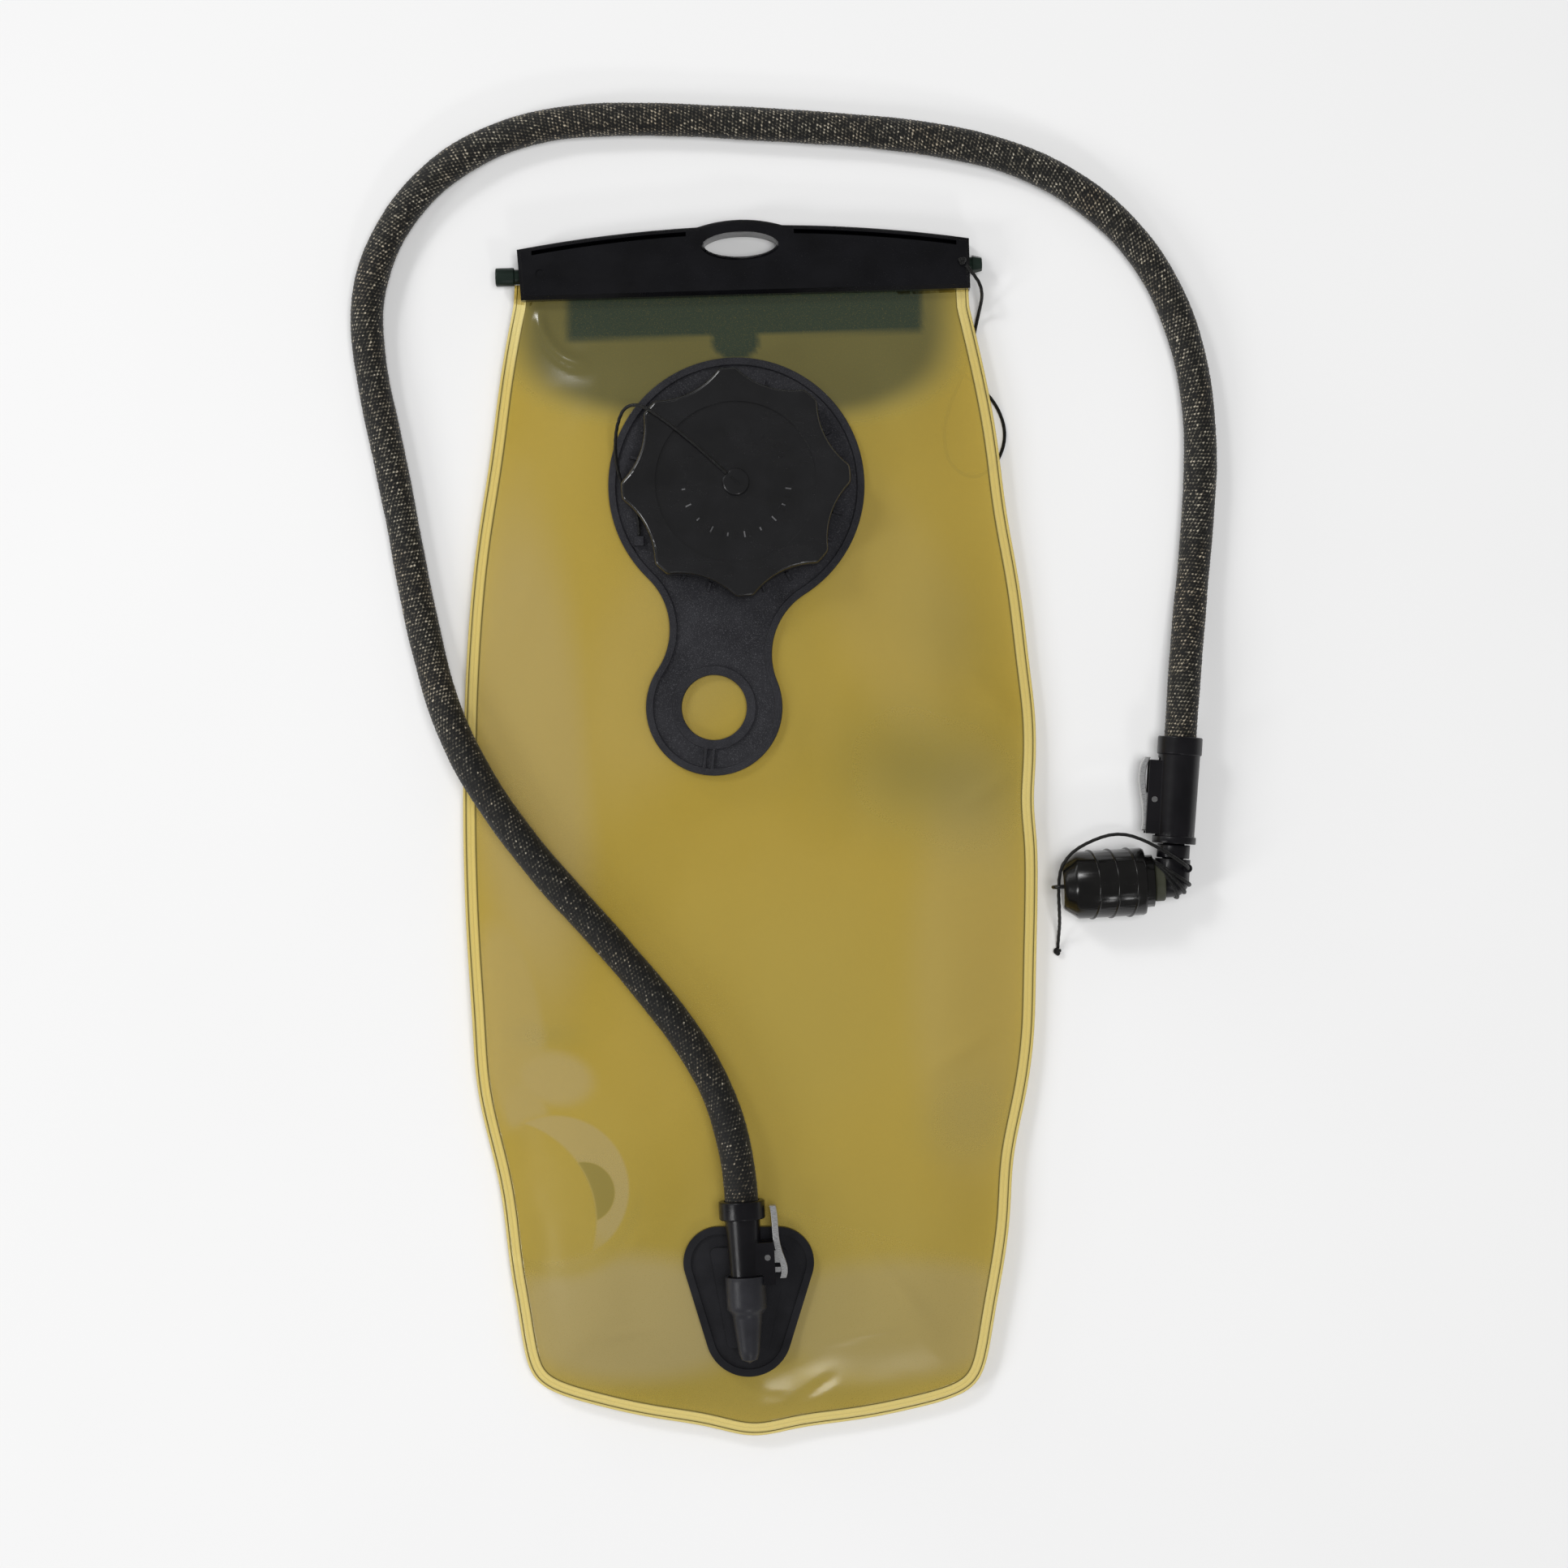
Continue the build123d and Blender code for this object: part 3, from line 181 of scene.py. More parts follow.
# across the weld, in shares of RAMP_REACH from the edge: its pale band, and its three pressed lines
RAMP_REACH = 0.01
WELD_BAND = [(0.0, 1.0), (0.12, 0.9), (0.49, 0.95), (0.54, 0.0)]
WELD_LINES = [(0.095, 0.0), (0.115, 1.0), (0.13, 1.0), (0.15, 0.0), (0.3, 0.0), (0.315, 0.4), (0.33, 0.0),
              (0.485, 0.0), (0.505, 1.0), (0.52, 1.0), (0.55, 0.0)]
# how much of the light the film stops: in the open and on a line, and how much more where its shade is painted
OPEN_COVER, LINE_COVER, SHADE_COVER = 0.36, 0.66, 0.62

# ---------- hose and cords: routes as in the CAD model, then sizes ----------
HOSE_ROUTE = [
    (-0.0033, -0.151, 0.028), (-0.004427, -0.1295, 0.028), (-0.0175, -0.094, 0.026),
    (-0.05, -0.053, 0.0244), (-0.092, -0.008, 0.0236), (-0.121, 0.036, 0.0174), (-0.1345, 0.082, 0.007),
    (-0.145, 0.14, 0.007), (-0.1575, 0.196, 0.007), (-0.156, 0.226, 0.007), (-0.142, 0.254, 0.007),
    (-0.119, 0.275, 0.007), (-0.088, 0.2875, 0.007), (-0.05, 0.2905, 0.007), (0.015, 0.2872, 0.007),
    (0.07, 0.283, 0.007), (0.112, 0.2735, 0.007), (0.144, 0.2545, 0.007), (0.167, 0.228, 0.007),
    (0.1805, 0.194, 0.007), (0.1848, 0.158, 0.007), (0.1828, 0.122, 0.007), (0.1794, 0.088, 0.0086),
    (0.17661, 0.06, 0.014), (0.1751, 0.036, 0.014),
]
CAP_TETHER_ROUTE = [
    (-0.00886, 0.14194, 0.0382), (-0.015, 0.1477, 0.0387), (-0.0245, 0.156, 0.0402),
    (-0.0355, 0.1645, 0.0406), (-0.044, 0.1698, 0.0396), (-0.0503, 0.169, 0.036), (-0.0533, 0.1625, 0.0315),
    (-0.0544, 0.155, 0.027), (-0.054, 0.1478, 0.023), (-0.0524, 0.1403, 0.0203), (-0.0486, 0.1326, 0.0193),
    (-0.0449, 0.126, 0.0192), (-0.0449, 0.1186, 0.0192),
]
CLOSURE_TETHER_ROUTE = [
    (0.0878, 0.2286, 0.0164), (0.091, 0.2248, 0.0166), (0.0936, 0.221, 0.0156), (0.0946, 0.2174, 0.0122),
    (0.0944, 0.2144, 0.007), (0.0932, 0.209, 0.0026), (0.0914, 0.2, 0.0008), (0.088, 0.187, 0.0008),
    (0.082, 0.174, 0.0008), (0.079, 0.161, 0.0008), (0.0816, 0.1486, 0.0008), (0.0914, 0.1426, 0.0008),
    (0.101, 0.1484, 0.0008), (0.1054, 0.1604, 0.0008), (0.102, 0.1724, 0.0008), (0.0944, 0.1808, 0.0034),
    (0.0842, 0.188, 0.0034), (0.074, 0.1956, 0.001), (0.0656, 0.2026, 0.0012), (0.0606, 0.2084, 0.0028),
    (0.06, 0.2134, 0.0048),
]
SHIELD_TETHER_ROUTE = [
    (0.1776, -0.0164, 0.0202), (0.1773, -0.0159, 0.0228), (0.175, -0.0142, 0.0254),
    (0.171, -0.0116, 0.0269), (0.165, -0.008, 0.0272), (0.1585, -0.0046, 0.0266), (0.151, -0.0022, 0.0256),
    (0.143, -0.003, 0.0246), (0.1316, -0.0084, 0.0228), (0.1264, -0.0148, 0.0216), (0.1252, -0.0208, 0.02),
    (0.1252, -0.0272, 0.0186), (0.1258, -0.0336, 0.015), (0.1264, -0.0394, 0.0094),
    (0.1264, -0.0444, 0.0036), (0.1262, -0.0496, 0.001),
]
SLEEVE_RADIUS, TUBE_RADIUS, CORD_RADIUS = 0.0069, 0.005, 0.00075
WEAVE_AROUND, WEAVE_PITCH, WEAVE_DEPTH, WEAVE_SEED = 28, 0.0015, 0.0004, 7
SLEEVE_UNDER = 0.0003        # the middle of the weave below the sleeve's radius
# the sleeve's painted highlights are weaker over the film: by how much, how far along from the outlet, and over
# what length
HIGHLIGHT_DIM, FADED_TO, FADED_OVER = 0.22, 0.235, 0.03
# slow waves along the hose, each a size, radians per metre and a phase: its thickness, its yarns' twist
SLEEVE_WAVES, SLEEVE_TWISTS = [(0.00009, 95, 0.0), (0.00006, 210, 1.1)], [(0.9, 7.5, 0.0), (0.3, 19, 0.0)]
HOSE_STEP, CORD_STEP = 0.004, 0.0006
STRANDS, STRAND_TURN, STRAND_DEPTH, STRAND_UNDER = 3, 1.15, 0.00003, 0.00006
CORD_SIDES, TUBE_SIDES = 12, 28
CLOSURE_KNOT, SHIELD_KNOT = (0.0862, 0.2304, 0.0167), (0.126, -0.051, 0.0019)
KNOT_SIZE, KNOT_UNDER = 0.0011, 0.00003
ELBOW_RADIUS, WRAP_TURNS, WRAP_STEPS, WRAP_FAN, WRAP_LIFT = 0.0072, 3, 48, 0.0034, 0.0006

# ---------- thread and dial ----------
THREAD_TURNS, THREAD_PITCH, THREAD_ROOT, THREAD_START, THREAD_FADE = 1.6, 0.006, 0.036, 0.0022, 0.6
# the thread's section: reach over its root, height over its middle
THREAD_SECTION = [(0.0, 0.0011), (0.0012, 0.0004), (0.0012, -0.0004), (0.0, -0.0011)]
MARK_COUNT, MARK_RADIUS, MARK_HALF = 10, 0.0212, (0.0012, 0.0003)
MARK_FIRST, MARK_SWEEP, MARK_SHORT, MARK_BELOW = 188.0, 165.0, 0.6, 0.0008
MARK_LAYERS = [(0.0, 1.0), (0.00012, 0.6)]      # height and size of a bar's foot and top
BAR_FACES = [(3, 2, 1, 0), (4, 5, 6, 7), (0, 1, 5, 4), (1, 2, 6, 5), (2, 3, 7, 6), (3, 0, 4, 7)]


# ---------- node helpers ----------
PRINCIPLED = "ShaderNodeBsdfPrincipled"


def new_material(name):
    """A material without nodes, and its node tree."""
    material = bpy.data.materials.new(name)
    material.use_nodes = True
    material.node_tree.nodes.clear()
    return material, material.node_tree


def add(tree, kind, links=None, **values):
    """A shader node; values set its sockets by name, links join other nodes' outputs to them."""
    node = tree.nodes.new(kind)
    for key, value in values.items():
        if key.startswith("_"):
            setattr(node, key[1:], value)
        else:
            node.inputs[key.replace("__", " ")].default_value = value
    for key, output in (links or {}).items():
        tree.links.new(output, node.inputs[key])
    return node


def ramp(tree, factor, stops):
    """A colour ramp through stops of a position and a colour or a grey value."""
    node = add(tree, "ShaderNodeValToRGB", {"Fac": factor})
    elements = node.color_ramp.elements
    while len(elements) < len(stops):
        elements.new(0.5)
    for element, (position, colour) in zip(elements, stops):
        element.position = position
        element.color = (*colour, 1.0) if isinstance(colour, tuple) else (colour, colour, colour, 1.0)
    return node.outputs["Color"]


def object_coordinates(tree, stretch=None):
    coordinates = tree.nodes.new("ShaderNodeTexCoord").outputs["Object"]
    if stretch is None:
        return coordinates
    return add(tree, "ShaderNodeMapping", {"Vector": coordinates}, Scale=stretch).outputs["Vector"]


def attribute(tree, name):
    return add(tree, "ShaderNodeAttribute", _attribute_name=name).outputs["Fac"]


def noise(tree, vector, scale, detail=3.0, roughness=0.55):
    values = {"Scale": scale, "Detail": detail, "Roughness": roughness}
    return add(tree, "ShaderNodeTexNoise", {"Vector": vector}, **values).outputs["Fac"]


def bump(tree, height, distance, strength=1.0, below=None):
    links = {"Height": height}
    if below:
        links["Normal"] = below
    return add(tree, "ShaderNodeBump", links, Strength=strength, Distance=distance).outputs["Normal"]


def tint(tree, colour, factor, target, blend="MIX"):
    """The colour, mixed towards a target by a factor."""
    mix = add(tree, "ShaderNodeMix", _data_type="RGBA", _blend_type=blend)
    tree.links.new(factor, mix.inputs["Factor"])
    tree.links.new(colour, mix.inputs["A"])
    mix.inputs["B"].default_value = (*target, 1.0)
    return mix.outputs["Result"]


def maths(tree, operation, first, second, clamp=False):
    """A math node of two factors, each an output or a number."""
    node = add(tree, "ShaderNodeMath", _operation=operation, _use_clamp=clamp)
    for socket, value in zip(node.inputs, (first, second)):
        if isinstance(value, float):
            socket.default_value = value
        else:
            tree.links.new(value, socket)
    return node.outputs[0]


def disc(tree, place, circle, soft):
    """1 inside a circle seen from above, falling to 0 over its soft edge."""
    (x, y), radius = circle
    flat = add(tree, "ShaderNodeVectorMath", {0: place}, _operation="MULTIPLY")
    flat.inputs[1].default_value = (1.0, 1.0, 0.0)
    gap = add(tree, "ShaderNodeVectorMath", {0: flat.outputs["Vector"]}, _operation="DISTANCE")
    gap.inputs[1].default_value = (x, y, 0.0)
    node = add(tree, "ShaderNodeMapRange", {"Value": gap.outputs["Value"]}, From__Min=radius + soft / 2,
               From__Max=radius - soft / 2, _interpolation_type="SMOOTHSTEP")
    return node.outputs["Result"]


def finish_material(tree, kind, links, **values):
    """The shader node that the material ends in, joined to its output."""
    shader = add(tree, kind, links, **values)
    add(tree, "ShaderNodeOutputMaterial", {"Surface": shader.outputs[0]})


# ---------- materials ----------
def moulded(name, dark, light, roughness, grain_scale, grain_depth, fleck=None, coat=0.0, specular=0.28):
    """Moulded plastic or rubber: mottled colour, uneven gloss, fine surface grain and optional flecks."""
    material, tree = new_material(name)
    place = object_coordinates(tree)
    colour = ramp(tree, noise(tree, place, 70.0, 4.0), [(0.3, dark), (0.72, light)])
    if fleck:
        scale, share, fleck_colour = fleck
        spots = ramp(tree, noise(tree, place, scale, 2.0, 0.7), [(share, 0.0), (share + 0.07, 1.0)])
        colour = tint(tree, colour, spots, fleck_colour)
    smear = noise(tree, object_coordinates(tree, (1.0, 2.2, 1.0)), 38.0, 5.0, 0.65)
    low, high = roughness
    rough = ramp(tree, smear, [(0.32, low), (0.7, high)])
    normal = bump(tree, noise(tree, place, grain_scale, 2.0, 0.6), grain_depth)
    links = {"Base Color": colour, "Roughness": rough, "Normal": normal}
    finish_material(tree, PRINCIPLED, links, Coat__Weight=coat, Coat__Roughness=0.12,
                    Specular__IOR__Level=specular)
    return material


def brushed_steel(name, dark, light):
    material, tree = new_material(name)
    streak = noise(tree, object_coordinates(tree, (1, 8, 8)), 900.0)
    rough = ramp(tree, streak, [(0.3, 0.24), (0.7, 0.42)])
    colour = ramp(tree, streak, [(0.3, dark), (0.7, light)])
    links = {"Base Color": colour, "Roughness": rough}
    finish_material(tree, PRINCIPLED, links, Metallic=0.7)
    return material


def crescent(tree, place):
    """Where the films stick at the lower left: the pale crescent and the half moon inside it."""
    inside = disc(tree, place, CRESCENT_OUTER, OUTER_SOFT)
    outside = maths(tree, "SUBTRACT", 1.0, disc(tree, place, CRESCENT_INNER, INNER_SOFT))
    moon = maths(tree, "MULTIPLY", disc(tree, place, HALF_MOON, MOON_SOFT), outside)
    fade = maths(tree, "MULTIPLY", CRESCENT_FADE, disc(tree, place, CRESCENT_LOW, LOW_SOFT))
    strength = maths(tree, "SUBTRACT", CRESCENT_TAN, fade)
    pale = maths(tree, "MULTIPLY", maths(tree, "MULTIPLY", inside, outside), strength)
    return maths(tree, "MULTIPLY", pale, maths(tree, "SUBTRACT", 1.0, moon)), moon


def film_material():
    """Tinted see-through film, whose colour follows four attributes of its mesh.

    edge is the distance in from the rim, tan and the painted shade are tones by place: a paler tone with a painted
    sheen, and painted shade and shadow; front is 1 on the front film.
    """
    material, tree = new_material("film_urethane")
    place = object_coordinates(tree)
    edge, tan, deep, front = (attribute(tree, name) for name in ("edge", "tan", "deep", "front"))
    pale, moon = crescent(tree, place)
    tan = maths(tree, "MAXIMUM", tan, maths(tree, "MULTIPLY", pale, front))
    moon = maths(tree, "MULTIPLY", maths(tree, "MULTIPLY", moon, MOON_DARK), front)
    deep = maths(tree, "MAXIMUM", deep, moon)
    across = maths(tree, "DIVIDE", edge, RAMP_REACH)
    lines = ramp(tree, across, WELD_LINES)
    dust = ramp(tree, noise(tree, place, 2600.0, 2.0, 0.7), [(0.55, 0.0), (0.8, 0.35)])
    body = ramp(tree, noise(tree, object_coordinates(tree, (1.0, 0.7, 1.0)), 9.0), FILM_BODY)
    layers = [(tan, FILM_TAN), (deep, FILM_PAINTED_SHADE), (ramp(tree, across, WELD_BAND), FILM_BAND),
              (lines, FILM_LINE), (dust, FILM_DUST)]
    for factor, target in layers:
        body = tint(tree, body, factor, target)
    rough = ramp(tree, noise(tree, place, 22.0, 4.0, 0.6), [(0.3, 0.12), (0.7, 0.23)])
    ripple = bump(tree, noise(tree, place, 46.0, 1.0, 0.4), 0.0007, 0.5)
    normal = bump(tree, noise(tree, place, 1500.0, 2.0, 0.6), 0.00001, 0.6, ripple)
    links = {"Base Color": body, "Roughness": rough, "Normal": normal}
    surface = add(tree, PRINCIPLED, links, Specular__IOR__Level=0.5).outputs[0]
    window = add(tree, "ShaderNodeBsdfTransparent", Color=FILM_WINDOW).outputs[0]
    cover = ramp(tree, lines, [(0.0, OPEN_COVER), (1.0, LINE_COVER)])
    cover = maths(tree, "ADD", cover, maths(tree, "MULTIPLY", deep, SHADE_COVER), clamp=True)
    finish_material(tree, "ShaderNodeMixShader", {0: cover, 1: window, 2: surface})
    return material


def woven_material():
    """Woven sleeve: dark olive yarn, painted pale on its raised cells as highlights and near black between them as
    shade.
    """
    material, tree = new_material("sleeve_weave")
    place = object_coordinates(tree)
    # the cells' heights with noise: pale as a painted highlight where high, near black as painted shade where low
    mixed = maths(tree, "MULTIPLY", attribute(tree, "crown"), noise(tree, place, 1100.0, 3.0, 0.75))
    mixed = maths(tree, "MULTIPLY", mixed, noise(tree, place, 520.0, 2.0, 0.7))
    colour = ramp(tree, mixed, [(0.05, (0.001, 0.001, 0.0008)), (0.11, (0.01, 0.0092, 0.007)),
                                (0.17, (0.11, 0.1, 0.076)), (0.25, (0.55, 0.5, 0.4))])
    patch = ramp(tree, noise(tree, place, 45.0, 2.0), [(0.4, 0.0), (0.7, 0.6)])
    colour = tint(tree, colour, patch, (1.0, 0.86, 0.72), "MULTIPLY")
    normal = bump(tree, noise(tree, place, 4200.0, 2.0, 0.7), 0.00012, 0.8, bump(tree, mixed, 0.0003, 0.9))
    links = {"Base Color": colour, "Normal": normal}
    finish_material(tree, PRINCIPLED, links, Roughness=0.68, Sheen__Weight=0.06, Sheen__Roughness=0.5)
    return material


def cord_material():
    material, tree = new_material("braided_cord")
    place = object_coordinates(tree)
    braid = add(tree, "ShaderNodeTexVoronoi", {"Vector": place}, Scale=2100.0).outputs["Distance"]
    colour = ramp(tree, braid, [(0.1, (0.014, 0.014, 0.013)), (0.6, (0.002, 0.002, 0.002))])
    links = {"Base Color": colour, "Normal": bump(tree, braid, 0.0002, 0.8)}
    finish_material(tree, PRINCIPLED, links, Roughness=0.5, Sheen__Weight=0.05, Specular__IOR__Level=0.35)
    return material


# ---------- mesh helpers ----------
def mesh_object(name, vertices, faces, material, attributes=None, smooth=True):
    """A mesh piece from vertices and faces, with optional float attributes per vertex."""
    mesh = bpy.data.meshes.new(name)
    mesh.from_pydata([tuple(v) for v in vertices], [], faces)
    mesh.materials.append(material)
    for key, values in (attributes or {}).items():
        mesh.attributes.new(key, "FLOAT", "POINT").data.foreach_set("value", np.asarray(values, np.float32))
    mesh.polygons.foreach_set("use_smooth", [smooth] * len(mesh.polygons))
    mesh.update()
    piece = bpy.data.objects.new(name, mesh)
    bpy.context.scene.collection.objects.link(piece)
    return piece


def quads(index):
    """Faces between the neighbouring rows and columns of a grid of vertex numbers."""
    corners = [index[:-1, :-1], index[:-1, 1:], index[1:, 1:], index[1:, :-1]]
    return [tuple(quad) for quad in np.stack(corners, axis=-1).reshape(-1, 4).tolist()]


def tube_faces(count, sides):
    """Faces of a closed tube of count rings, its two end caps last."""
    index = np.arange(count * sides).reshape(count, sides)
    faces = quads(np.hstack([index, index[:, :1]]))
    return faces + [tuple(index[0, ::-1].tolist()), tuple(index[-1].tolist())]


def spline_line(points):
    """The smooth line of a route: points along a NURBS spline with the route's points as its controls."""
    curve = bpy.data.curves.new("route", "CURVE")
    curve.dimensions = "3D"
    spline = curve.splines.new("NURBS")
    spline.points.add(len(points) - 1)
    for control, point in zip(spline.points, points):
        control.co = (*point, 1.0)
    spline.order_u = 3
    spline.use_endpoint_u = True
    spline.resolution_u = 16
    holder = bpy.data.objects.new("route", curve)
    mesh = bpy.data.meshes.new_from_object(holder)
    line = np.array([v.co for v in mesh.vertices])
    bpy.data.meshes.remove(mesh)
    bpy.data.objects.remove(holder)
    bpy.data.curves.remove(curve)
    return line


def line_length(line):
    return float(np.linalg.norm(np.diff(line, axis=0), axis=1).sum())


def spread(line, count):
    """The line again, with count points an equal step apart."""
    gaps = np.linalg.norm(np.diff(line, axis=0), axis=1)
    along = np.concatenate([[0.0], np.cumsum(gaps)])
    wanted = np.linspace(0.0, along[-1], count)
    return np.stack([np.interp(wanted, along, column) for column in line.T], axis=1)


def even_points(line, step):
    """The line again, with its points about a step apart."""
    return spread(line, max(2, round(line_length(line) / step) + 1))


def sweep_frames(path):
    """Two directions across the path at each of its points, turning as little as they can."""
    tangents = np.gradient(path, axis=0)
    tangents /= np.linalg.norm(tangents, axis=1)[:, None]
    side = np.cross(tangents[0], (0.0, 0.0, 1.0))
    if np.linalg.norm(side) < 0.1:
        side = np.cross(tangents[0], (1.0, 0.0, 0.0))
    sides = []
    for tangent in tangents:
        side = side - tangent * (side @ tangent)
        side = side / np.linalg.norm(side)
        sides.append(side)
    sides = np.array(sides)
    return sides, np.cross(tangents, sides)


def tube_piece(name, path, sides, radius, material, attributes=None, twist=0.0):
    """A closed tube along a path. radius is a number, or an array of path points by sides."""
    across, up = sweep_frames(path)
    angle = np.linspace(0.0, 2 * math.pi, sides, endpoint=False)[None, :] + np.zeros((len(path), 1))
    angle = angle + np.reshape(twist, (-1, 1))
    reach = np.broadcast_to(radius, angle.shape)
    ring = across[:, None, :] * np.cos(angle)[:, :, None] + up[:, None, :] * np.sin(angle)[:, :, None]
    vertices = (path[:, None, :] + ring * reach[:, :, None]).reshape(-1, 3)
    return mesh_object(name, vertices, tube_faces(len(path), sides), material, attributes)


def smooth_step(value):
    value = np.clip(value, 0.0, 1.0)
    return value * value * (3 - 2 * value)


# ---------- the bag's outline and grid ----------
def circle_through(points):
    """Centre and radius of the circle through three points."""
    (ax, ay), (bx, by), (cx, cy) = points
    a, b, c = ax**2 + ay**2, bx**2 + by**2, cx**2 + cy**2
    x = a * (by - cy) + b * (cy - ay) + c * (ay - by)
    y = a * (cx - bx) + b * (ax - cx) + c * (bx - ax)
    centre = np.array([x, y]) / (2 * (ax * (by - cy) + bx * (cy - ay) + cx * (ay - by)))
    return centre, float(np.hypot(ax - centre[0], ay - centre[1]))


def closure_direction():
    return math.cos(CLOSURE_TILT), math.sin(CLOSURE_TILT)


def closure_point(x, y):
    """A point of the closure's own frame, which is tilted about Z, in the plan."""
    cos, sin = closure_direction()
    return CLOSURE_CENTRE[0] + x * cos - y * sin, CLOSURE_CENTRE[1] + x * sin + y * cos


def below_closure(x, y):
    """How far each point lies below the closure's long axis."""
    return (x - CLOSURE_CENTRE[0]) * math.tan(CLOSURE_TILT) - (y - CLOSURE_CENTRE[1])


def side_x(side, y):
    """Where the bag's left or right edge is at each y: its arc and its dents."""
    centre, radius = circle_through(LEFT_SIDE if side < 0 else RIGHT_SIDE)
    x = centre[0] + side * np.sqrt(radius**2 - (y - centre[1]) ** 2)
    for which, place, depth, half in EDGE_DENTS:
        if which == side:
            x = x - side * depth * np.exp(-(((y - place) / half) ** 2))
    return x


def bottom_y(x):
    """Where the bag's bottom edge is at each x: its arc and its tab."""
    centre, radius = circle_through(BOTTOM_EDGE)
    y = centre[1] - np.sqrt(radius**2 - (x - centre[0]) ** 2)
    return y - TAB_DROP * np.exp(-(((x - TAB_X) / TAB_BLEND) ** 2))


def corner(before, start, end, after):
    """Points of a curve from start to end, leaving and arriving along the neighbouring runs."""
    leave = (start - before) / np.linalg.norm(start - before)
    arrive = (after - end) / np.linalg.norm(after - end)
    reach = CORNER_PULL * np.linalg.norm(end - start)
    a, b = start + leave * reach, end - arrive * reach
    t = np.linspace(0, 1, 80)[1:-1, None]
    return start * (1 - t) ** 3 + 3 * a * t * (1 - t) ** 2 + 3 * b * t**2 * (1 - t) + end * t**3


def bag_outline():
    """Points of the bag's outline: down the left side, round the bottom and up the right side."""
    ys, xs = np.linspace(*SIDE_SPAN, 400), np.linspace(*BOTTOM_SPAN, 160)
    left = np.vstack([closure_point(-MOUTH_HALF, -FOLD_RADIUS), np.stack([side_x(-1, ys), ys], axis=1)])
    right = np.vstack([closure_point(MOUTH_HALF, -FOLD_RADIUS), np.stack([side_x(1, ys), ys], axis=1)])[::-1]
    bottom = np.stack([xs, bottom_y(xs)], axis=1)
    return np.vstack([left, corner(left[-2], left[-1], bottom[0], bottom[1]), bottom,
                      corner(bottom[-2], bottom[-1], right[0], right[1]), right])


def distance_to_outline(points, outline, chunk=4000):
    """Distance from each point to the outline's nearest stretch, a chunk of points at a time."""
    a, run = outline[:-1], np.diff(outline, axis=0)
    length = (run**2).sum(1)
    best = []
    for low in range(0, len(points), chunk):
        to = points[low:low + chunk, None, :] - a[None]
        t = np.clip((to * run).sum(2) / length, 0, 1)
        best.append(np.linalg.norm(to - t[:, :, None] * run, axis=2).min(1))
    return np.concatenate(best)


def film_grid(outline):
    """Rings along the weld, then a patch stretched between its four sides.

    Gives the points, the faces, each point's distance in from the edge, and the points along the mouth.
    """
    tangents = np.gradient(outline, axis=0)
    tangents /= np.linalg.norm(tangents, axis=1)[:, None]
    inward = np.stack([-tangents[:, 1], tangents[:, 0]], axis=1)
    along = np.array(closure_direction())
    count = len(outline)
    rings = []
    for distance, _ in WELD_RINGS:
        ring = outline + inward * distance * MM
        ring[0] = outline[0] + along * np.linalg.norm(ring[0] - outline[0])
        ring[-1] = outline[-1] - along * np.linalg.norm(ring[-1] - outline[-1])
        rings.append(ring)
    inner, rows, columns = rings[-1], SIDE_ROWS, count - 2 * SIDE_ROWS
    left, low, right = inner[:rows + 1], inner[rows:rows + columns], inner[rows + columns - 1:][::-1]
    v, u = np.linspace(0, 1, rows + 1)[:, None, None], np.linspace(0, 1, columns)[None, :, None]
    top = left[0] + (right[0] - left[0]) * u[0]
    patch = (1 - v) * top[None] + v * low[None] + (1 - u) * left[:, None] + u * right[:, None]
    patch -= ((1 - u) * (1 - v) * top[0] + u * (1 - v) * top[-1] + (1 - u) * v * low[0] + u * v * low[-1])
    fresh = patch[:-1, 1:-1].reshape(-1, 2)
    ring_index = np.arange(len(rings) * count).reshape(len(rings), count)
    index = np.zeros((rows + 1, columns), int)
    index[:, 0], index[:, -1] = ring_index[-1, :rows + 1], ring_index[-1, ::-1][:rows + 1]
    index[-1] = ring_index[-1, rows:rows + columns]
    index[:-1, 1:-1] = (ring_index.size + np.arange(len(fresh))).reshape(rows, -1)
    ring_edges = np.repeat([distance * MM for distance, _ in WELD_RINGS], count)
    edge = np.concatenate([ring_edges, distance_to_outline(fresh, outline)])
    return np.vstack(rings + [fresh]), quads(ring_index) + quads(index.T), edge, index[0]


# ---------- the film's tones and heights ----------
def blob_reach(x, y, centre, radii, turn):
    """Distance from an ellipse's centre, 1 on the ellipse itself."""
    cos, sin = math.cos(math.radians(turn)), math.sin(math.radians(turn))
    dx, dy = x - centre[0], y - centre[1]
    return np.hypot((dx * cos + dy * sin) / radii[0], (dy * cos - dx * sin) / radii[1])


def blob(x, y, centre, radii, turn, soft):
    """1 inside an ellipse, falling to 0 over its soft share."""
    return smooth_step((1 + soft / 2 - blob_reach(x, y, centre, radii, turn)) / soft)


def round_gap(x, y, circle):
    """Distance outside a circle, negative inside it."""
    (cx, cy), radius = circle
    return np.hypot(x - cx, y - cy) - radius


def within(x, y, circle, soft):
    """1 inside a circle, falling to 0 over its soft edge."""
    return smooth_step(0.5 - round_gap(x, y, circle) / soft)


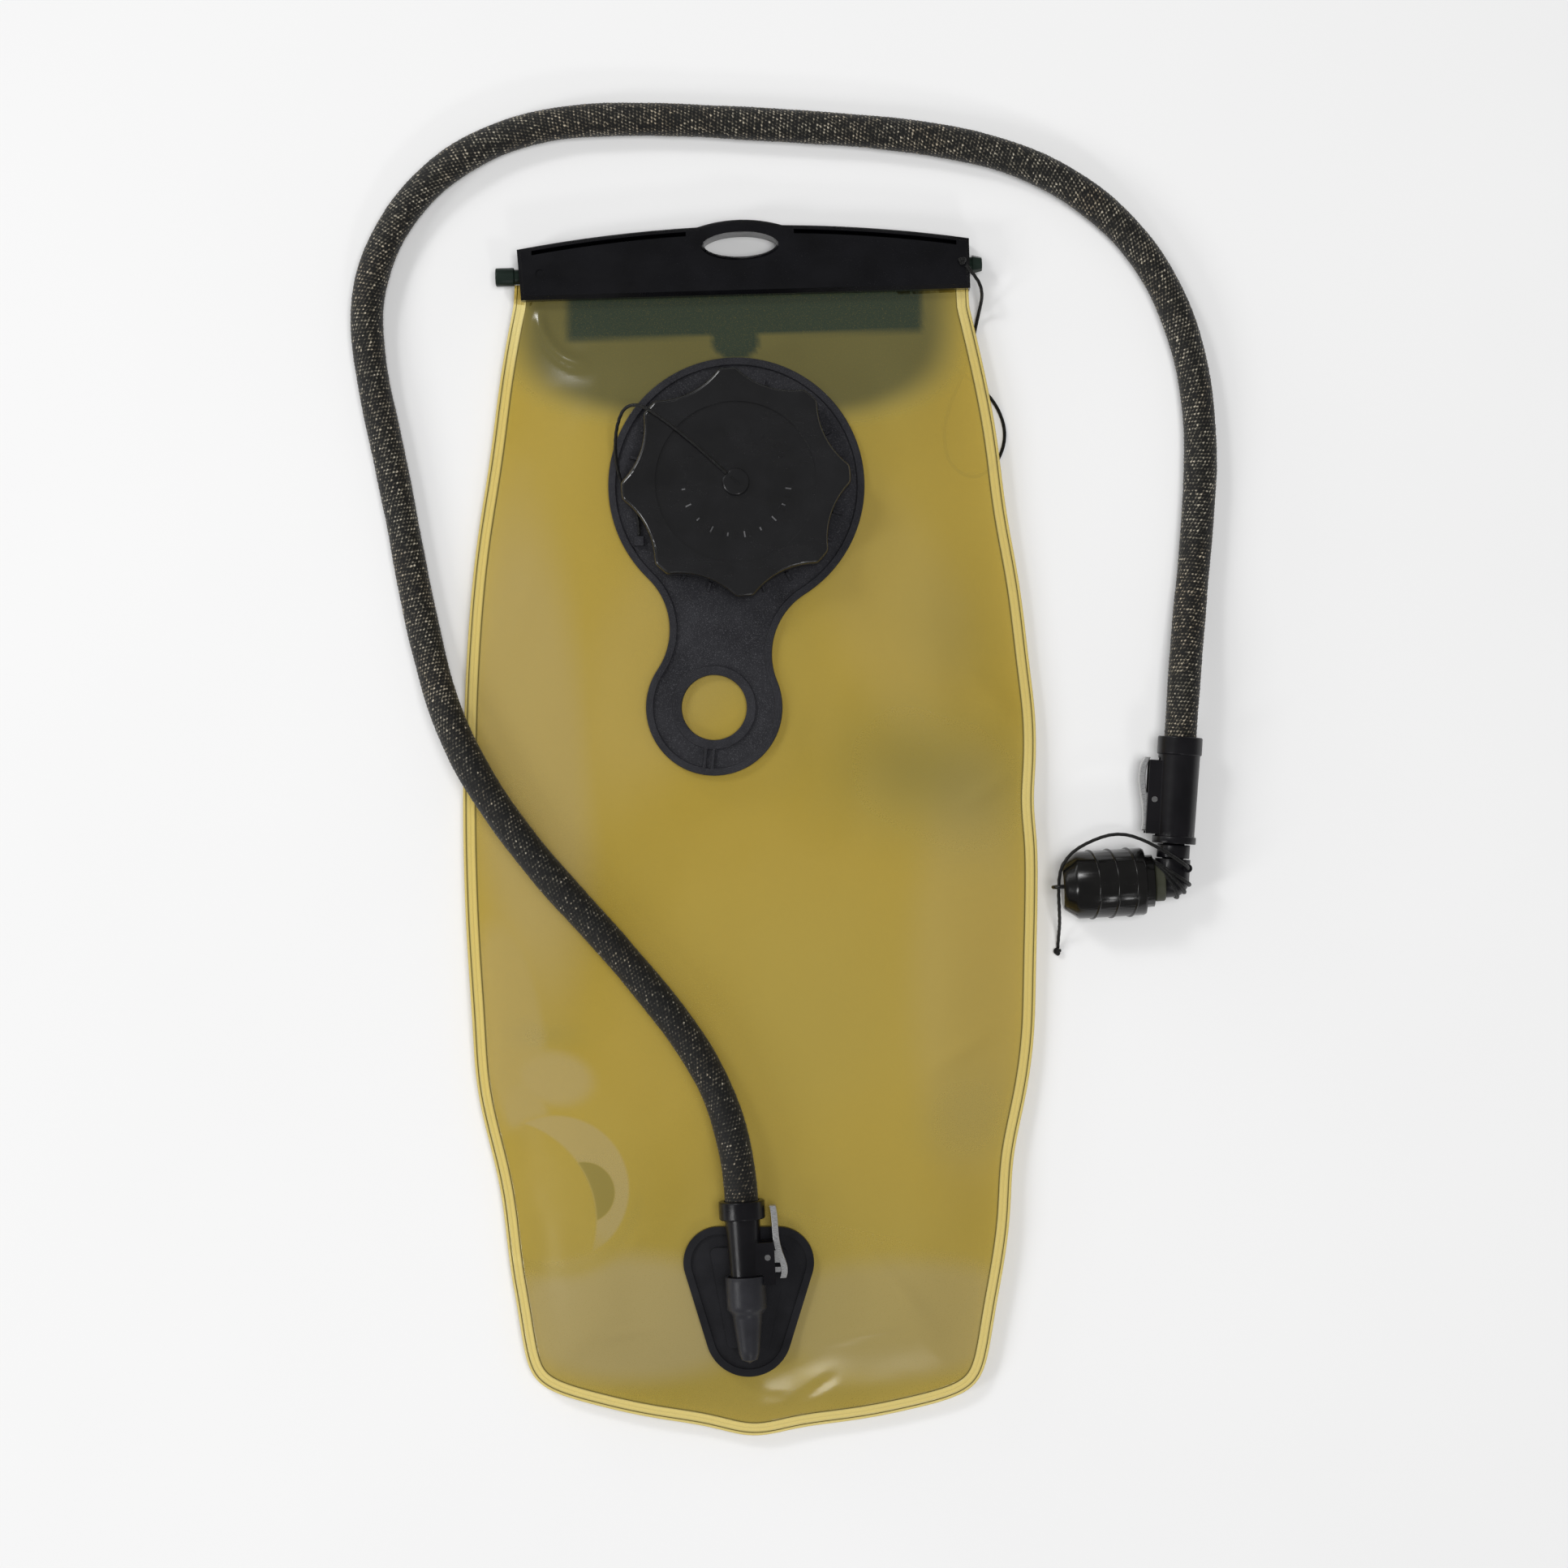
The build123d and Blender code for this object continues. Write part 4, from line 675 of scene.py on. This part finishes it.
def film_tones(x, y):
    """How tan each point is, where the films touch with a painted sheen, and its painted shade: the closure's
    painted shadow, patches of painted shade and the shaded belt.
    """
    tan = np.zeros_like(x)
    # patches where the films touch, paler with a painted sheen
    for centre, radii, turn, amount, soft in TOUCHING_SHEEN:
        tan = np.maximum(tan, amount * blob(x, y, centre, radii, turn, soft))
    belt_gap = round_gap(x, y, CRESCENT_OUTER) - BELT_GAP
    belt = np.exp(-((belt_gap / BELT_HALF) ** 2)) * (1 - smooth_step((y - BELT_TOP) / BELT_FADE))
    tan = tan * (1 - 0.8 * within(x, y, CRESCENT_OUTER, 0.004)) * (1 - 0.7 * belt)
    # mouth here is the closure's painted shadow with its round bump; shade is the painted soft shadow round it
    mouth = smooth_step((SHADOW_LOW[0] - below_closure(x, y)) / SHADOW_LOW[1])
    mouth = mouth * smooth_step((x - SHADOW_LEFT[0]) / SHADOW_LEFT[1])
    mouth = mouth * smooth_step((SHADOW_RIGHT[0] - x) / SHADOW_RIGHT[1])
    mouth = np.maximum(mouth, blob(x, y, *SHADOW_BUMP))
    reach = sum((np.abs(place - centre) / half) ** SHADE_POWER
                for place, centre, half in zip((x, y), SHADE_CENTRE, SHADE_REACH)) ** (1 / SHADE_POWER)
    shade = smooth_step((SHADE_EDGE[0] - reach) / SHADE_EDGE[1])
    deep = np.maximum(SHADOW_DARK * mouth, SHADE_DARK * shade)
    # the patches of painted shade
    for centre, radii, turn, amount in SHADED:
        deep = np.maximum(deep, amount * np.exp(-(blob_reach(x, y, centre, radii, turn) ** 2)))
    deep = np.maximum(deep, BELT_SHADE * belt)
    return tan * (1 - 0.8 * shade), deep


def segment_distance(x, y, start, end):
    """Distance from a straight segment, and how far along it the nearest place is."""
    (ax, ay), (bx, by) = start, end
    run = np.array([bx - ax, by - ay])
    t = np.clip(((x - ax) * run[0] + (y - ay) * run[1]) / (run @ run), 0, 1)
    return np.hypot(x - ax - t * run[0], y - ay - t * run[1]), t


def plate_weight(x, y):
    """1 under the moulded plates, falling to 0 around them."""
    port, grip = round_gap(x, y, (PORT_CENTRE, FLANGE_RADIUS)), round_gap(x, y, (GRIP_CENTRE, GRIP_RADIUS))
    waist = segment_distance(x, y, PORT_CENTRE, GRIP_CENTRE)[0] - WAIST_HALF
    outlet = (blob_reach(x, y, OUTLET_CENTRE, OUTLET_REACH, 0.0) - 1) * OUTLET_SCALE
    gap = np.minimum.reduce([port, grip, waist, outlet])
    return smooth_step(1 - np.clip(gap - PLATE_GAP, 0, 1) / PLATE_BLEND)


def film_shape(points, edge, front):
    """Heights of one film: up or down from the weld, under the plates, with slack waves and creases."""
    x, y = points.T
    to_mouth = below_closure(x, y) - MOUTH_FLAT
    rise = smooth_step((edge - WELD_WIDTH) / BELLY_RISE) ** 0.8 * smooth_step(to_mouth / MOUTH_RISE)
    wave = sum(share * np.sin(x * a + y * b + phase) for a, b, phase, share in WAVES)
    wave = wave / sum(share for *_, share in WAVES)
    calm = 1 - plate_weight(x, y)
    seam = SEAM_Z + SEAM_WAVE * np.sin(y * 38 + x * 16) * smooth_step(to_mouth / 0.06)
    if front:
        level = FRONT_TOP + FRONT_WAVE * wave * calm
        level = level + (PLATE_UNDER - level) * (1 - calm)
        z = seam + FILM_THICK + (level - seam - FILM_THICK) * rise
        for start, end, width, height in CREASES:
            gap, t = segment_distance(x, y, start, end)
            swell = np.exp(-((gap / width) ** 2)) * np.sin(math.pi * (0.1 + 0.8 * t))
            z = z + height * swell * calm * rise**0.3
        ridge = smooth_step(1 - np.abs(round_gap(x, y, RIDGE_ARC)) / RIDGE_HALF)
        z = z + RIDGE_HEIGHT * ridge * within(x, y, RIDGE_SPAN, RIDGE_SOFT)
    else:
        level = BACK_LOW + BACK_WAVE * (wave + 1)
        z = seam + (level - seam) * rise
    distances, lifts = np.array(WELD_RINGS).T * MM
    lift = np.interp(edge, distances, lifts) * smooth_step(to_mouth / 0.01)
    return np.stack([x, y, z + lift if front else z - lift], axis=1)


def drop_loose(piece):
    """Takes away the vertices that no face uses."""
    work = bmesh.new()
    work.from_mesh(piece.data)
    bmesh.ops.delete(work, geom=[v for v in work.verts if not v.link_faces], context="VERTS")
    work.to_mesh(piece.data)
    work.free()


def film_piece(name, grid, front, material):
    """One film as a thin closed shell, with its half of the fold round the rod."""
    points, faces, edge, mouth = grid
    tan, deep = film_tones(*points.T)
    if front:
        keep = round_gap(*points.T, (PORT_CENTRE, HOLE_RADIUS)) > 0
        faces = [face for face in faces if all(keep[i] for i in face)]
    else:
        tan, deep = tan * BACK_TAN, deep * BACK_SHADE
    cos, sin = closure_direction()
    rows = []
    for step in range(1, FOLD_STEPS + 1):
        angle = math.pi * step / FOLD_STEPS
        shift = FOLD_RADIUS * (1 - math.cos(angle))
        height = FOLD_RADIUS * math.sin(angle) + FOLD_SPREAD * (1 - math.sin(angle))
        row = points[mouth] + np.array((-sin, cos)) * shift
        rows.append(np.column_stack([row, np.full(len(row), SEAM_Z + (height if front else -height))]))
    vertices = np.vstack([film_shape(points, edge, front)] + rows)
    added = np.arange(len(points), len(vertices)).reshape(FOLD_STEPS, -1)
    faces = faces + quads(np.vstack([mouth, added]))
    if not front:
        faces = [face[::-1] for face in faces]
    tones = {key: np.append(values, np.full(added.size, FOLD_TONES[key]))
             for key, values in (("edge", edge), ("tan", tan), ("deep", deep))}
    tones["front"] = np.full(len(vertices), float(front))
    piece = mesh_object(name, vertices, faces, material, tones)
    drop_loose(piece)
    shell = piece.modifiers.new("thickness", "SOLIDIFY")
    shell.thickness = FILM_THICK
    shell.offset = -1.0
    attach(piece, "root")
    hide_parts("front_film" if front else "back_film")


# ---------- hose and cords ----------
def waves(along, terms):
    """The sum of slow waves along a cord, each a size, radians per metre and a phase."""
    return sum(size * np.sin(along * rate + phase) for size, rate, phase in terms)


def hose(sleeve_finish, tube_finish):
    """The woven sleeve as a dense tube of raised cells, and the smooth drinking tube inside it."""
    line = spline_line(HOSE_ROUTE)
    path = even_points(line, WEAVE_PITCH / 2)
    row, column = np.indices((len(path), 2 * WEAVE_AROUND))
    along = row * WEAVE_PITCH / 2
    cell = 0.5 + 0.25 * (np.cos(math.pi * row) + np.cos(math.pi * (column + row // 2)))
    shuffle = np.random.default_rng(WEAVE_SEED).uniform(0.55, 1.0, (len(path) // 2 + 1, WEAVE_AROUND))
    height = cell * shuffle[row // 2, column // 2]
    # the cells' heights, weaker over the film, for the sleeve's painted highlight and shade
    crown = height * (1.0 - HIGHLIGHT_DIM * smooth_step((FADED_TO - along) / FADED_OVER))
    radius = SLEEVE_RADIUS - SLEEVE_UNDER + waves(along, SLEEVE_WAVES) + WEAVE_DEPTH * (height - 0.5)
    sleeve = tube_piece("hose_sleeve_weave", path, 2 * WEAVE_AROUND, radius, sleeve_finish,
                        {"crown": crown.ravel()}, waves(along[:, 0], SLEEVE_TWISTS))
    measured = even_points(line, HOSE_STEP)
    inner = tube_piece("hose_inner_tube", measured, TUBE_SIDES, TUBE_RADIUS, tube_finish)
    for piece, node, slot in ((sleeve, "hose_sleeve", "sleeve_fabric"), (inner, "hose_tube", "tube_rubber")):
        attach(piece, "hose")
        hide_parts(node)


def thin_cord(name, route, nodes, finish):
    """A thin braided cord: a tube whose section swells and shrinks with its strands."""
    line = spline_line(route)
    path = even_points(line, CORD_STEP)
    row, column = np.indices((len(path), CORD_SIDES))
    angle, turn = 2 * math.pi * column / CORD_SIDES * STRANDS, row * STRAND_TURN
    strand = np.cos(angle + turn) + np.cos(angle - turn)
    piece = tube_piece(name, path, CORD_SIDES, CORD_RADIUS - STRAND_UNDER + STRAND_DEPTH * strand, finish)
    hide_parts(*nodes)
    return piece


def knot_piece(name, node, body, centre, finish, lean=0.0):
    """A small overhand knot, a trefoil of the cord pulled tight."""
    t = np.linspace(0, 2 * math.pi, 160)[:-1]
    x, y, z = np.sin(t) + 2 * np.sin(2 * t), np.cos(t) - 2 * np.cos(2 * t), -1.4 * np.sin(3 * t)
    cos, sin = math.cos(lean), math.sin(lean)
    loop = np.stack([x, y * cos - z * sin, y * sin + z * cos], axis=1)
    path = loop / 3.2 * KNOT_SIZE + np.array(centre)
    piece = tube_piece(name, path, CORD_SIDES, CORD_RADIUS - KNOT_UNDER, finish)
    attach(piece, body)
    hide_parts(node)
    return piece


def elbow_wraps(finish):
    """The shield cord's turns round the elbow: tight in its inner corner, fanned out over its outer one."""
    middle, swivel = np.array(JOINTS["elbow_swivel"]["pos_m"]), np.array(JOINTS["elbow_swivel"]["axis"])
    mouth = np.array(JOINTS["mouth_twist"]["axis"])
    inner, across = (mouth - swivel) / math.sqrt(2), (mouth + swivel) / math.sqrt(2)
    turn = np.linspace(0, WRAP_TURNS, WRAP_TURNS * WRAP_STEPS + 1)[:, None]
    cos, sin = np.cos(2 * math.pi * turn), np.sin(2 * math.pi * turn)
    fan = (turn - WRAP_TURNS / 2) * WRAP_FAN * (1 - cos) / 2
    reach = np.sqrt((ELBOW_RADIUS + CORD_RADIUS) ** 2 - fan**2)
    toward = reach * np.where(cos > 0, math.sqrt(2), 1.0) * cos + WRAP_LIFT * turn * np.maximum(cos, 0.0)
    points = middle + inner * toward + across * fan + np.array((0, 0, 1)) * reach * sin
    piece = tube_piece("elbow_wraps", even_points(points, CORD_STEP), CORD_SIDES, CORD_RADIUS, finish)
    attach(piece, "elbow")


# ---------- thread and dial ----------
def collar_thread(finish):
    """Helical thread on the fill port's collar, seen once the cap lifts."""
    t = np.linspace(0, THREAD_TURNS * 2 * math.pi, 360)
    z = PORT_HIGH.z - THREAD_START - THREAD_PITCH * t / (2 * math.pi)
    fade = smooth_step(np.minimum(t, t[-1] - t) / THREAD_FADE)
    vertices = []
    for angle, height, size in zip(t, z, fade):
        for over, rise in THREAD_SECTION:
            reach = THREAD_ROOT + over * size
            x, y = PORT_CENTRE[0] + reach * math.cos(angle), PORT_CENTRE[1] + reach * math.sin(angle)
            vertices.append((x, y, height + rise))
    faces = tube_faces(len(t), len(THREAD_SECTION))
    piece = mesh_object("collar_thread", vertices, faces, finish, smooth=False)
    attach(piece, "root")


def dial_marks(finish):
    """Painted glints on the cap's dial ticks: short pale bars round the lower half of its disc."""
    vertices, faces = [], []
    for index in range(MARK_COUNT):
        turn = math.radians(MARK_FIRST + MARK_SWEEP * index / (MARK_COUNT - 1))
        long = MARK_HALF[0] * (1.0 if index % 2 else MARK_SHORT)
        out = np.array((math.cos(turn), math.sin(turn)))
        across = np.array((-out[1], out[0]))
        faces += [tuple(len(vertices) + i for i in quad) for quad in BAR_FACES]
        for lift, size in MARK_LAYERS:
            for u, v in ((-1, -1), (1, -1), (1, 1), (-1, 1)):
                place = np.array(PORT_CENTRE) + out * (MARK_RADIUS + u * long * size)
                place = place + across * v * MARK_HALF[1] * size
                vertices.append((*place, CAP_TOP - MARK_BELOW + lift))
    piece = mesh_object("dial_marks", vertices, faces, finish, smooth=False)
    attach(piece, "cap")


# ---------- finishes on the CAD nodes ----------
def dress(nodes, material, edge_round=0.0):
    """Gives CAD nodes a material and softens their sharp edges by a modifier."""
    for name in nodes:
        node = NODES[name]
        node.data.materials.clear()
        node.data.materials.append(material)
        if edge_round:
            weld = node.modifiers.new("weld", "WELD")
            weld.merge_threshold = 0.000005
            soft = node.modifiers.new("edges", "BEVEL")
            soft.width = edge_round
            soft.segments = 2
            soft.limit_method = "ANGLE"
            soft.angle_limit = math.radians(38)
            soft.harden_normals = True


# each: name, dark and light tone, range of roughness, grain scale and depth, then what else it needs
closure_black = moulded("closure_black", (0.0012, 0.0012, 0.002), (0.0035, 0.0035, 0.005), (0.22, 0.36),
                        1500.0, 0.00004, coat=0.08, specular=0.3)
port_black = moulded("port_charcoal", (0.0135, 0.0135, 0.016), (0.026, 0.026, 0.03), (0.46, 0.62),
                     2400.0, 0.00008, fleck=(3200.0, 0.58, (0.075, 0.075, 0.082)), specular=0.22)
outlet_black = moulded("outlet_charcoal", (0.007, 0.007, 0.0085), (0.014, 0.014, 0.0165), (0.34, 0.5),
                       2000.0, 0.00005, specular=0.3)
cap_black = moulded("cap_gloss", (0.0012, 0.0012, 0.0016), (0.005, 0.005, 0.006), (0.18, 0.32),
                    500.0, 0.000012, coat=0.35, specular=0.6)
connector_black = moulded("connector_black", (0.002, 0.0018, 0.0028), (0.006, 0.0055, 0.007), (0.26, 0.4),
                          900.0, 0.00002, coat=0.05)
rod_green = moulded("rod_green", (0.006, 0.012, 0.009), (0.014, 0.024, 0.018), (0.28, 0.45), 900.0, 0.00003)
seal_black = moulded("seal_rubber", (0.006, 0.006, 0.006), (0.014, 0.014, 0.014), (0.55, 0.7),
                     1600.0, 0.00003)
boot_grey = moulded("boot_rubber", (0.016, 0.016, 0.019), (0.028, 0.028, 0.033), (0.34, 0.5),
                    1400.0, 0.00003)
ring_olive = moulded("ring_olive", (0.03, 0.032, 0.02), (0.058, 0.06, 0.042), (0.45, 0.6),
                     1400.0, 0.00004)
bite_grey = moulded("bite_rubber", (0.2, 0.21, 0.19), (0.29, 0.3, 0.27), (0.45, 0.6), 900.0, 0.00003)
shield_black = moulded("shield_rubber", (0.0018, 0.0017, 0.0016), (0.006, 0.0056, 0.0052), (0.16, 0.28),
                       700.0, 0.00002, coat=0.25)
# pale grey for the dial ticks, a painted glint
glint_grey = moulded("cap_marks_glint", (0.05, 0.05, 0.052), (0.16, 0.16, 0.165), (0.2, 0.3), 900.0, 0.00001,
                    specular=0.5)
tube_black = moulded("tube_rubber", (0.02, 0.024, 0.018), (0.04, 0.044, 0.034), (0.35, 0.5), 900.0, 0.00002)
film = film_material()
weave = woven_material()
cord = cord_material()

dress(["slide_closure"], closure_black, 0.0011)
dress(["closing_rod"], rod_green, 0.0003)
dress(["fill_port"], port_black, 0.0004)
dress(["outlet_base"], outlet_black, 0.0004)
dress(["screw_cap"], cap_black, 0.0009)
dress(["cap_button", "cap_button_clip"], cap_black, 0.0002)
dress(["outlet_nipple"], connector_black)
dress(["outlet_boot"], boot_grey, 0.0004)
dress(["port_connector", "valve_connector", "port_hose_collar", "valve_hose_collar", "valve_nipple",
       "valve_elbow"], connector_black, 0.0003)
dress(["port_lever", "valve_lever"], brushed_steel("lever_steel", 0.34, 0.6), 0.0006)
dress(["valve_shield"], shield_black, 0.0003)
dress(["valve_ring"], ring_olive)
dress(["bite_mouthpiece"], bite_grey, 0.0003)
dress(["cap_seal", "outlet_o_ring", "valve_o_ring"], seal_black)
dress(["port_lever_pin", "valve_lever_pin"], brushed_steel("pin_steel", 0.16, 0.26), 0.0002)
dress(["tether_anchor"], film)

# ---------- pieces ----------
grid = film_grid(spread(bag_outline(), 2 * SIDE_ROWS + BOTTOM_COLUMNS))
film_piece("film_front_sheet", grid, True, film)
film_piece("film_back_sheet", grid, False, film)
hose(weave, tube_black)

closure_knot = knot_piece("closure_knot", "closure_tether_knot", "closure", CLOSURE_KNOT, cord)
end_knot = knot_piece("shield_end_knot", "shield_tether_knot", "shield", SHIELD_KNOT, cord, 0.5)
cap_cord = thin_cord("cap_cord", CAP_TETHER_ROUTE, ["cap_tether"], cord)
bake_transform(cap_cord)
closure_cord = thin_cord("closure_cord", CLOSURE_TETHER_ROUTE, ["closure_tether"], cord)
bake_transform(closure_cord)
shield_cord = thin_cord("shield_cord", SHIELD_TETHER_ROUTE, ["shield_tether", "shield_tether_tail"], cord)
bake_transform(shield_cord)
elbow_wraps(cord)
collar_thread(port_black)
dial_marks(glint_grey)

# ---------- floor, light and camera ----------
FLOOR_HALF, FLOOR_BELOW = 6.0, 0.0002
AMBIENT = 0.22
# lights that point at the origin: name, place, size, power, whether glossy surfaces show them
LIGHTS = [
    ("key", (-2.3, 2.1, 3.0), (1.4, 1.4), 22.0, True),
    ("glint", (-1.35, 1.45, 2.0), (0.4, 0.4), 9.0, True),
    ("low_left", (-1.75, -0.7, 1.4), (0.35, 0.8), 10.0, True),
    ("strip", (-1.7, 1.25, 0.5), (2.0, 0.3), 5.0, True),
    ("steep", (0.3, 0.0, 2.7), (0.9, 0.9), 38.0, False),
    ("fill", (0.5, -1.9, 1.5), (0.4, 0.3), 5.0, True),
]
CAMERA_PLACE, CAMERA_LENS, CAMERA_SENSOR = (0.0138, 0.0178, 1.45), 81.0, 36.0


def floor():
    """A pale paper floor, just under the surface that the object lies on."""
    half = FLOOR_HALF
    corners = [(-half, -half, 0), (half, -half, 0), (half, half, 0), (-half, half, 0)]
    mesh = bpy.data.meshes.new("floor")
    mesh.from_pydata(corners, [], [(0, 1, 2, 3)])
    material, tree = new_material("floor_paper")
    tone = ramp(tree, noise(tree, object_coordinates(tree), 3.0), [(0.3, 0.855), (0.7, 0.875)])
    finish_material(tree, PRINCIPLED, {"Base Color": tone}, Roughness=0.9, Specular__IOR__Level=0.1)
    mesh.materials.append(material)
    plane = bpy.data.objects.new("floor", mesh)
    plane.location.z = -FLOOR_BELOW
    bpy.context.scene.collection.objects.link(plane)


def area_light(name, place, size, power, glossy):
    data = bpy.data.lights.new(name, "AREA")
    data.shape = "RECTANGLE"
    data.size, data.size_y = size
    data.energy = power
    lamp = bpy.data.objects.new(name, data)
    lamp.location = place
    lamp.rotation_euler = (-Vector(place)).to_track_quat("-Z", "Y").to_euler()
    lamp.visible_glossy = glossy
    bpy.context.scene.collection.objects.link(lamp)


def studio():
    world = bpy.data.worlds.new("studio")
    world.use_nodes = True
    background = world.node_tree.nodes["Background"]
    background.inputs["Color"].default_value = (1.0, 1.0, 1.0, 1.0)
    background.inputs["Strength"].default_value = AMBIENT
    bpy.context.scene.world = world
    for light in LIGHTS:
        area_light(*light)


def camera():
    """Straight above the object, as far back as a product photograph is taken from."""
    data = bpy.data.cameras.new("camera")
    data.lens = CAMERA_LENS
    data.sensor_width = CAMERA_SENSOR
    eye = bpy.data.objects.new("camera", data)
    eye.location = CAMERA_PLACE
    bpy.context.scene.collection.objects.link(eye)
    bpy.context.scene.camera = eye


floor()
studio()
camera()
bpy.context.scene.view_settings.view_transform = "Standard"
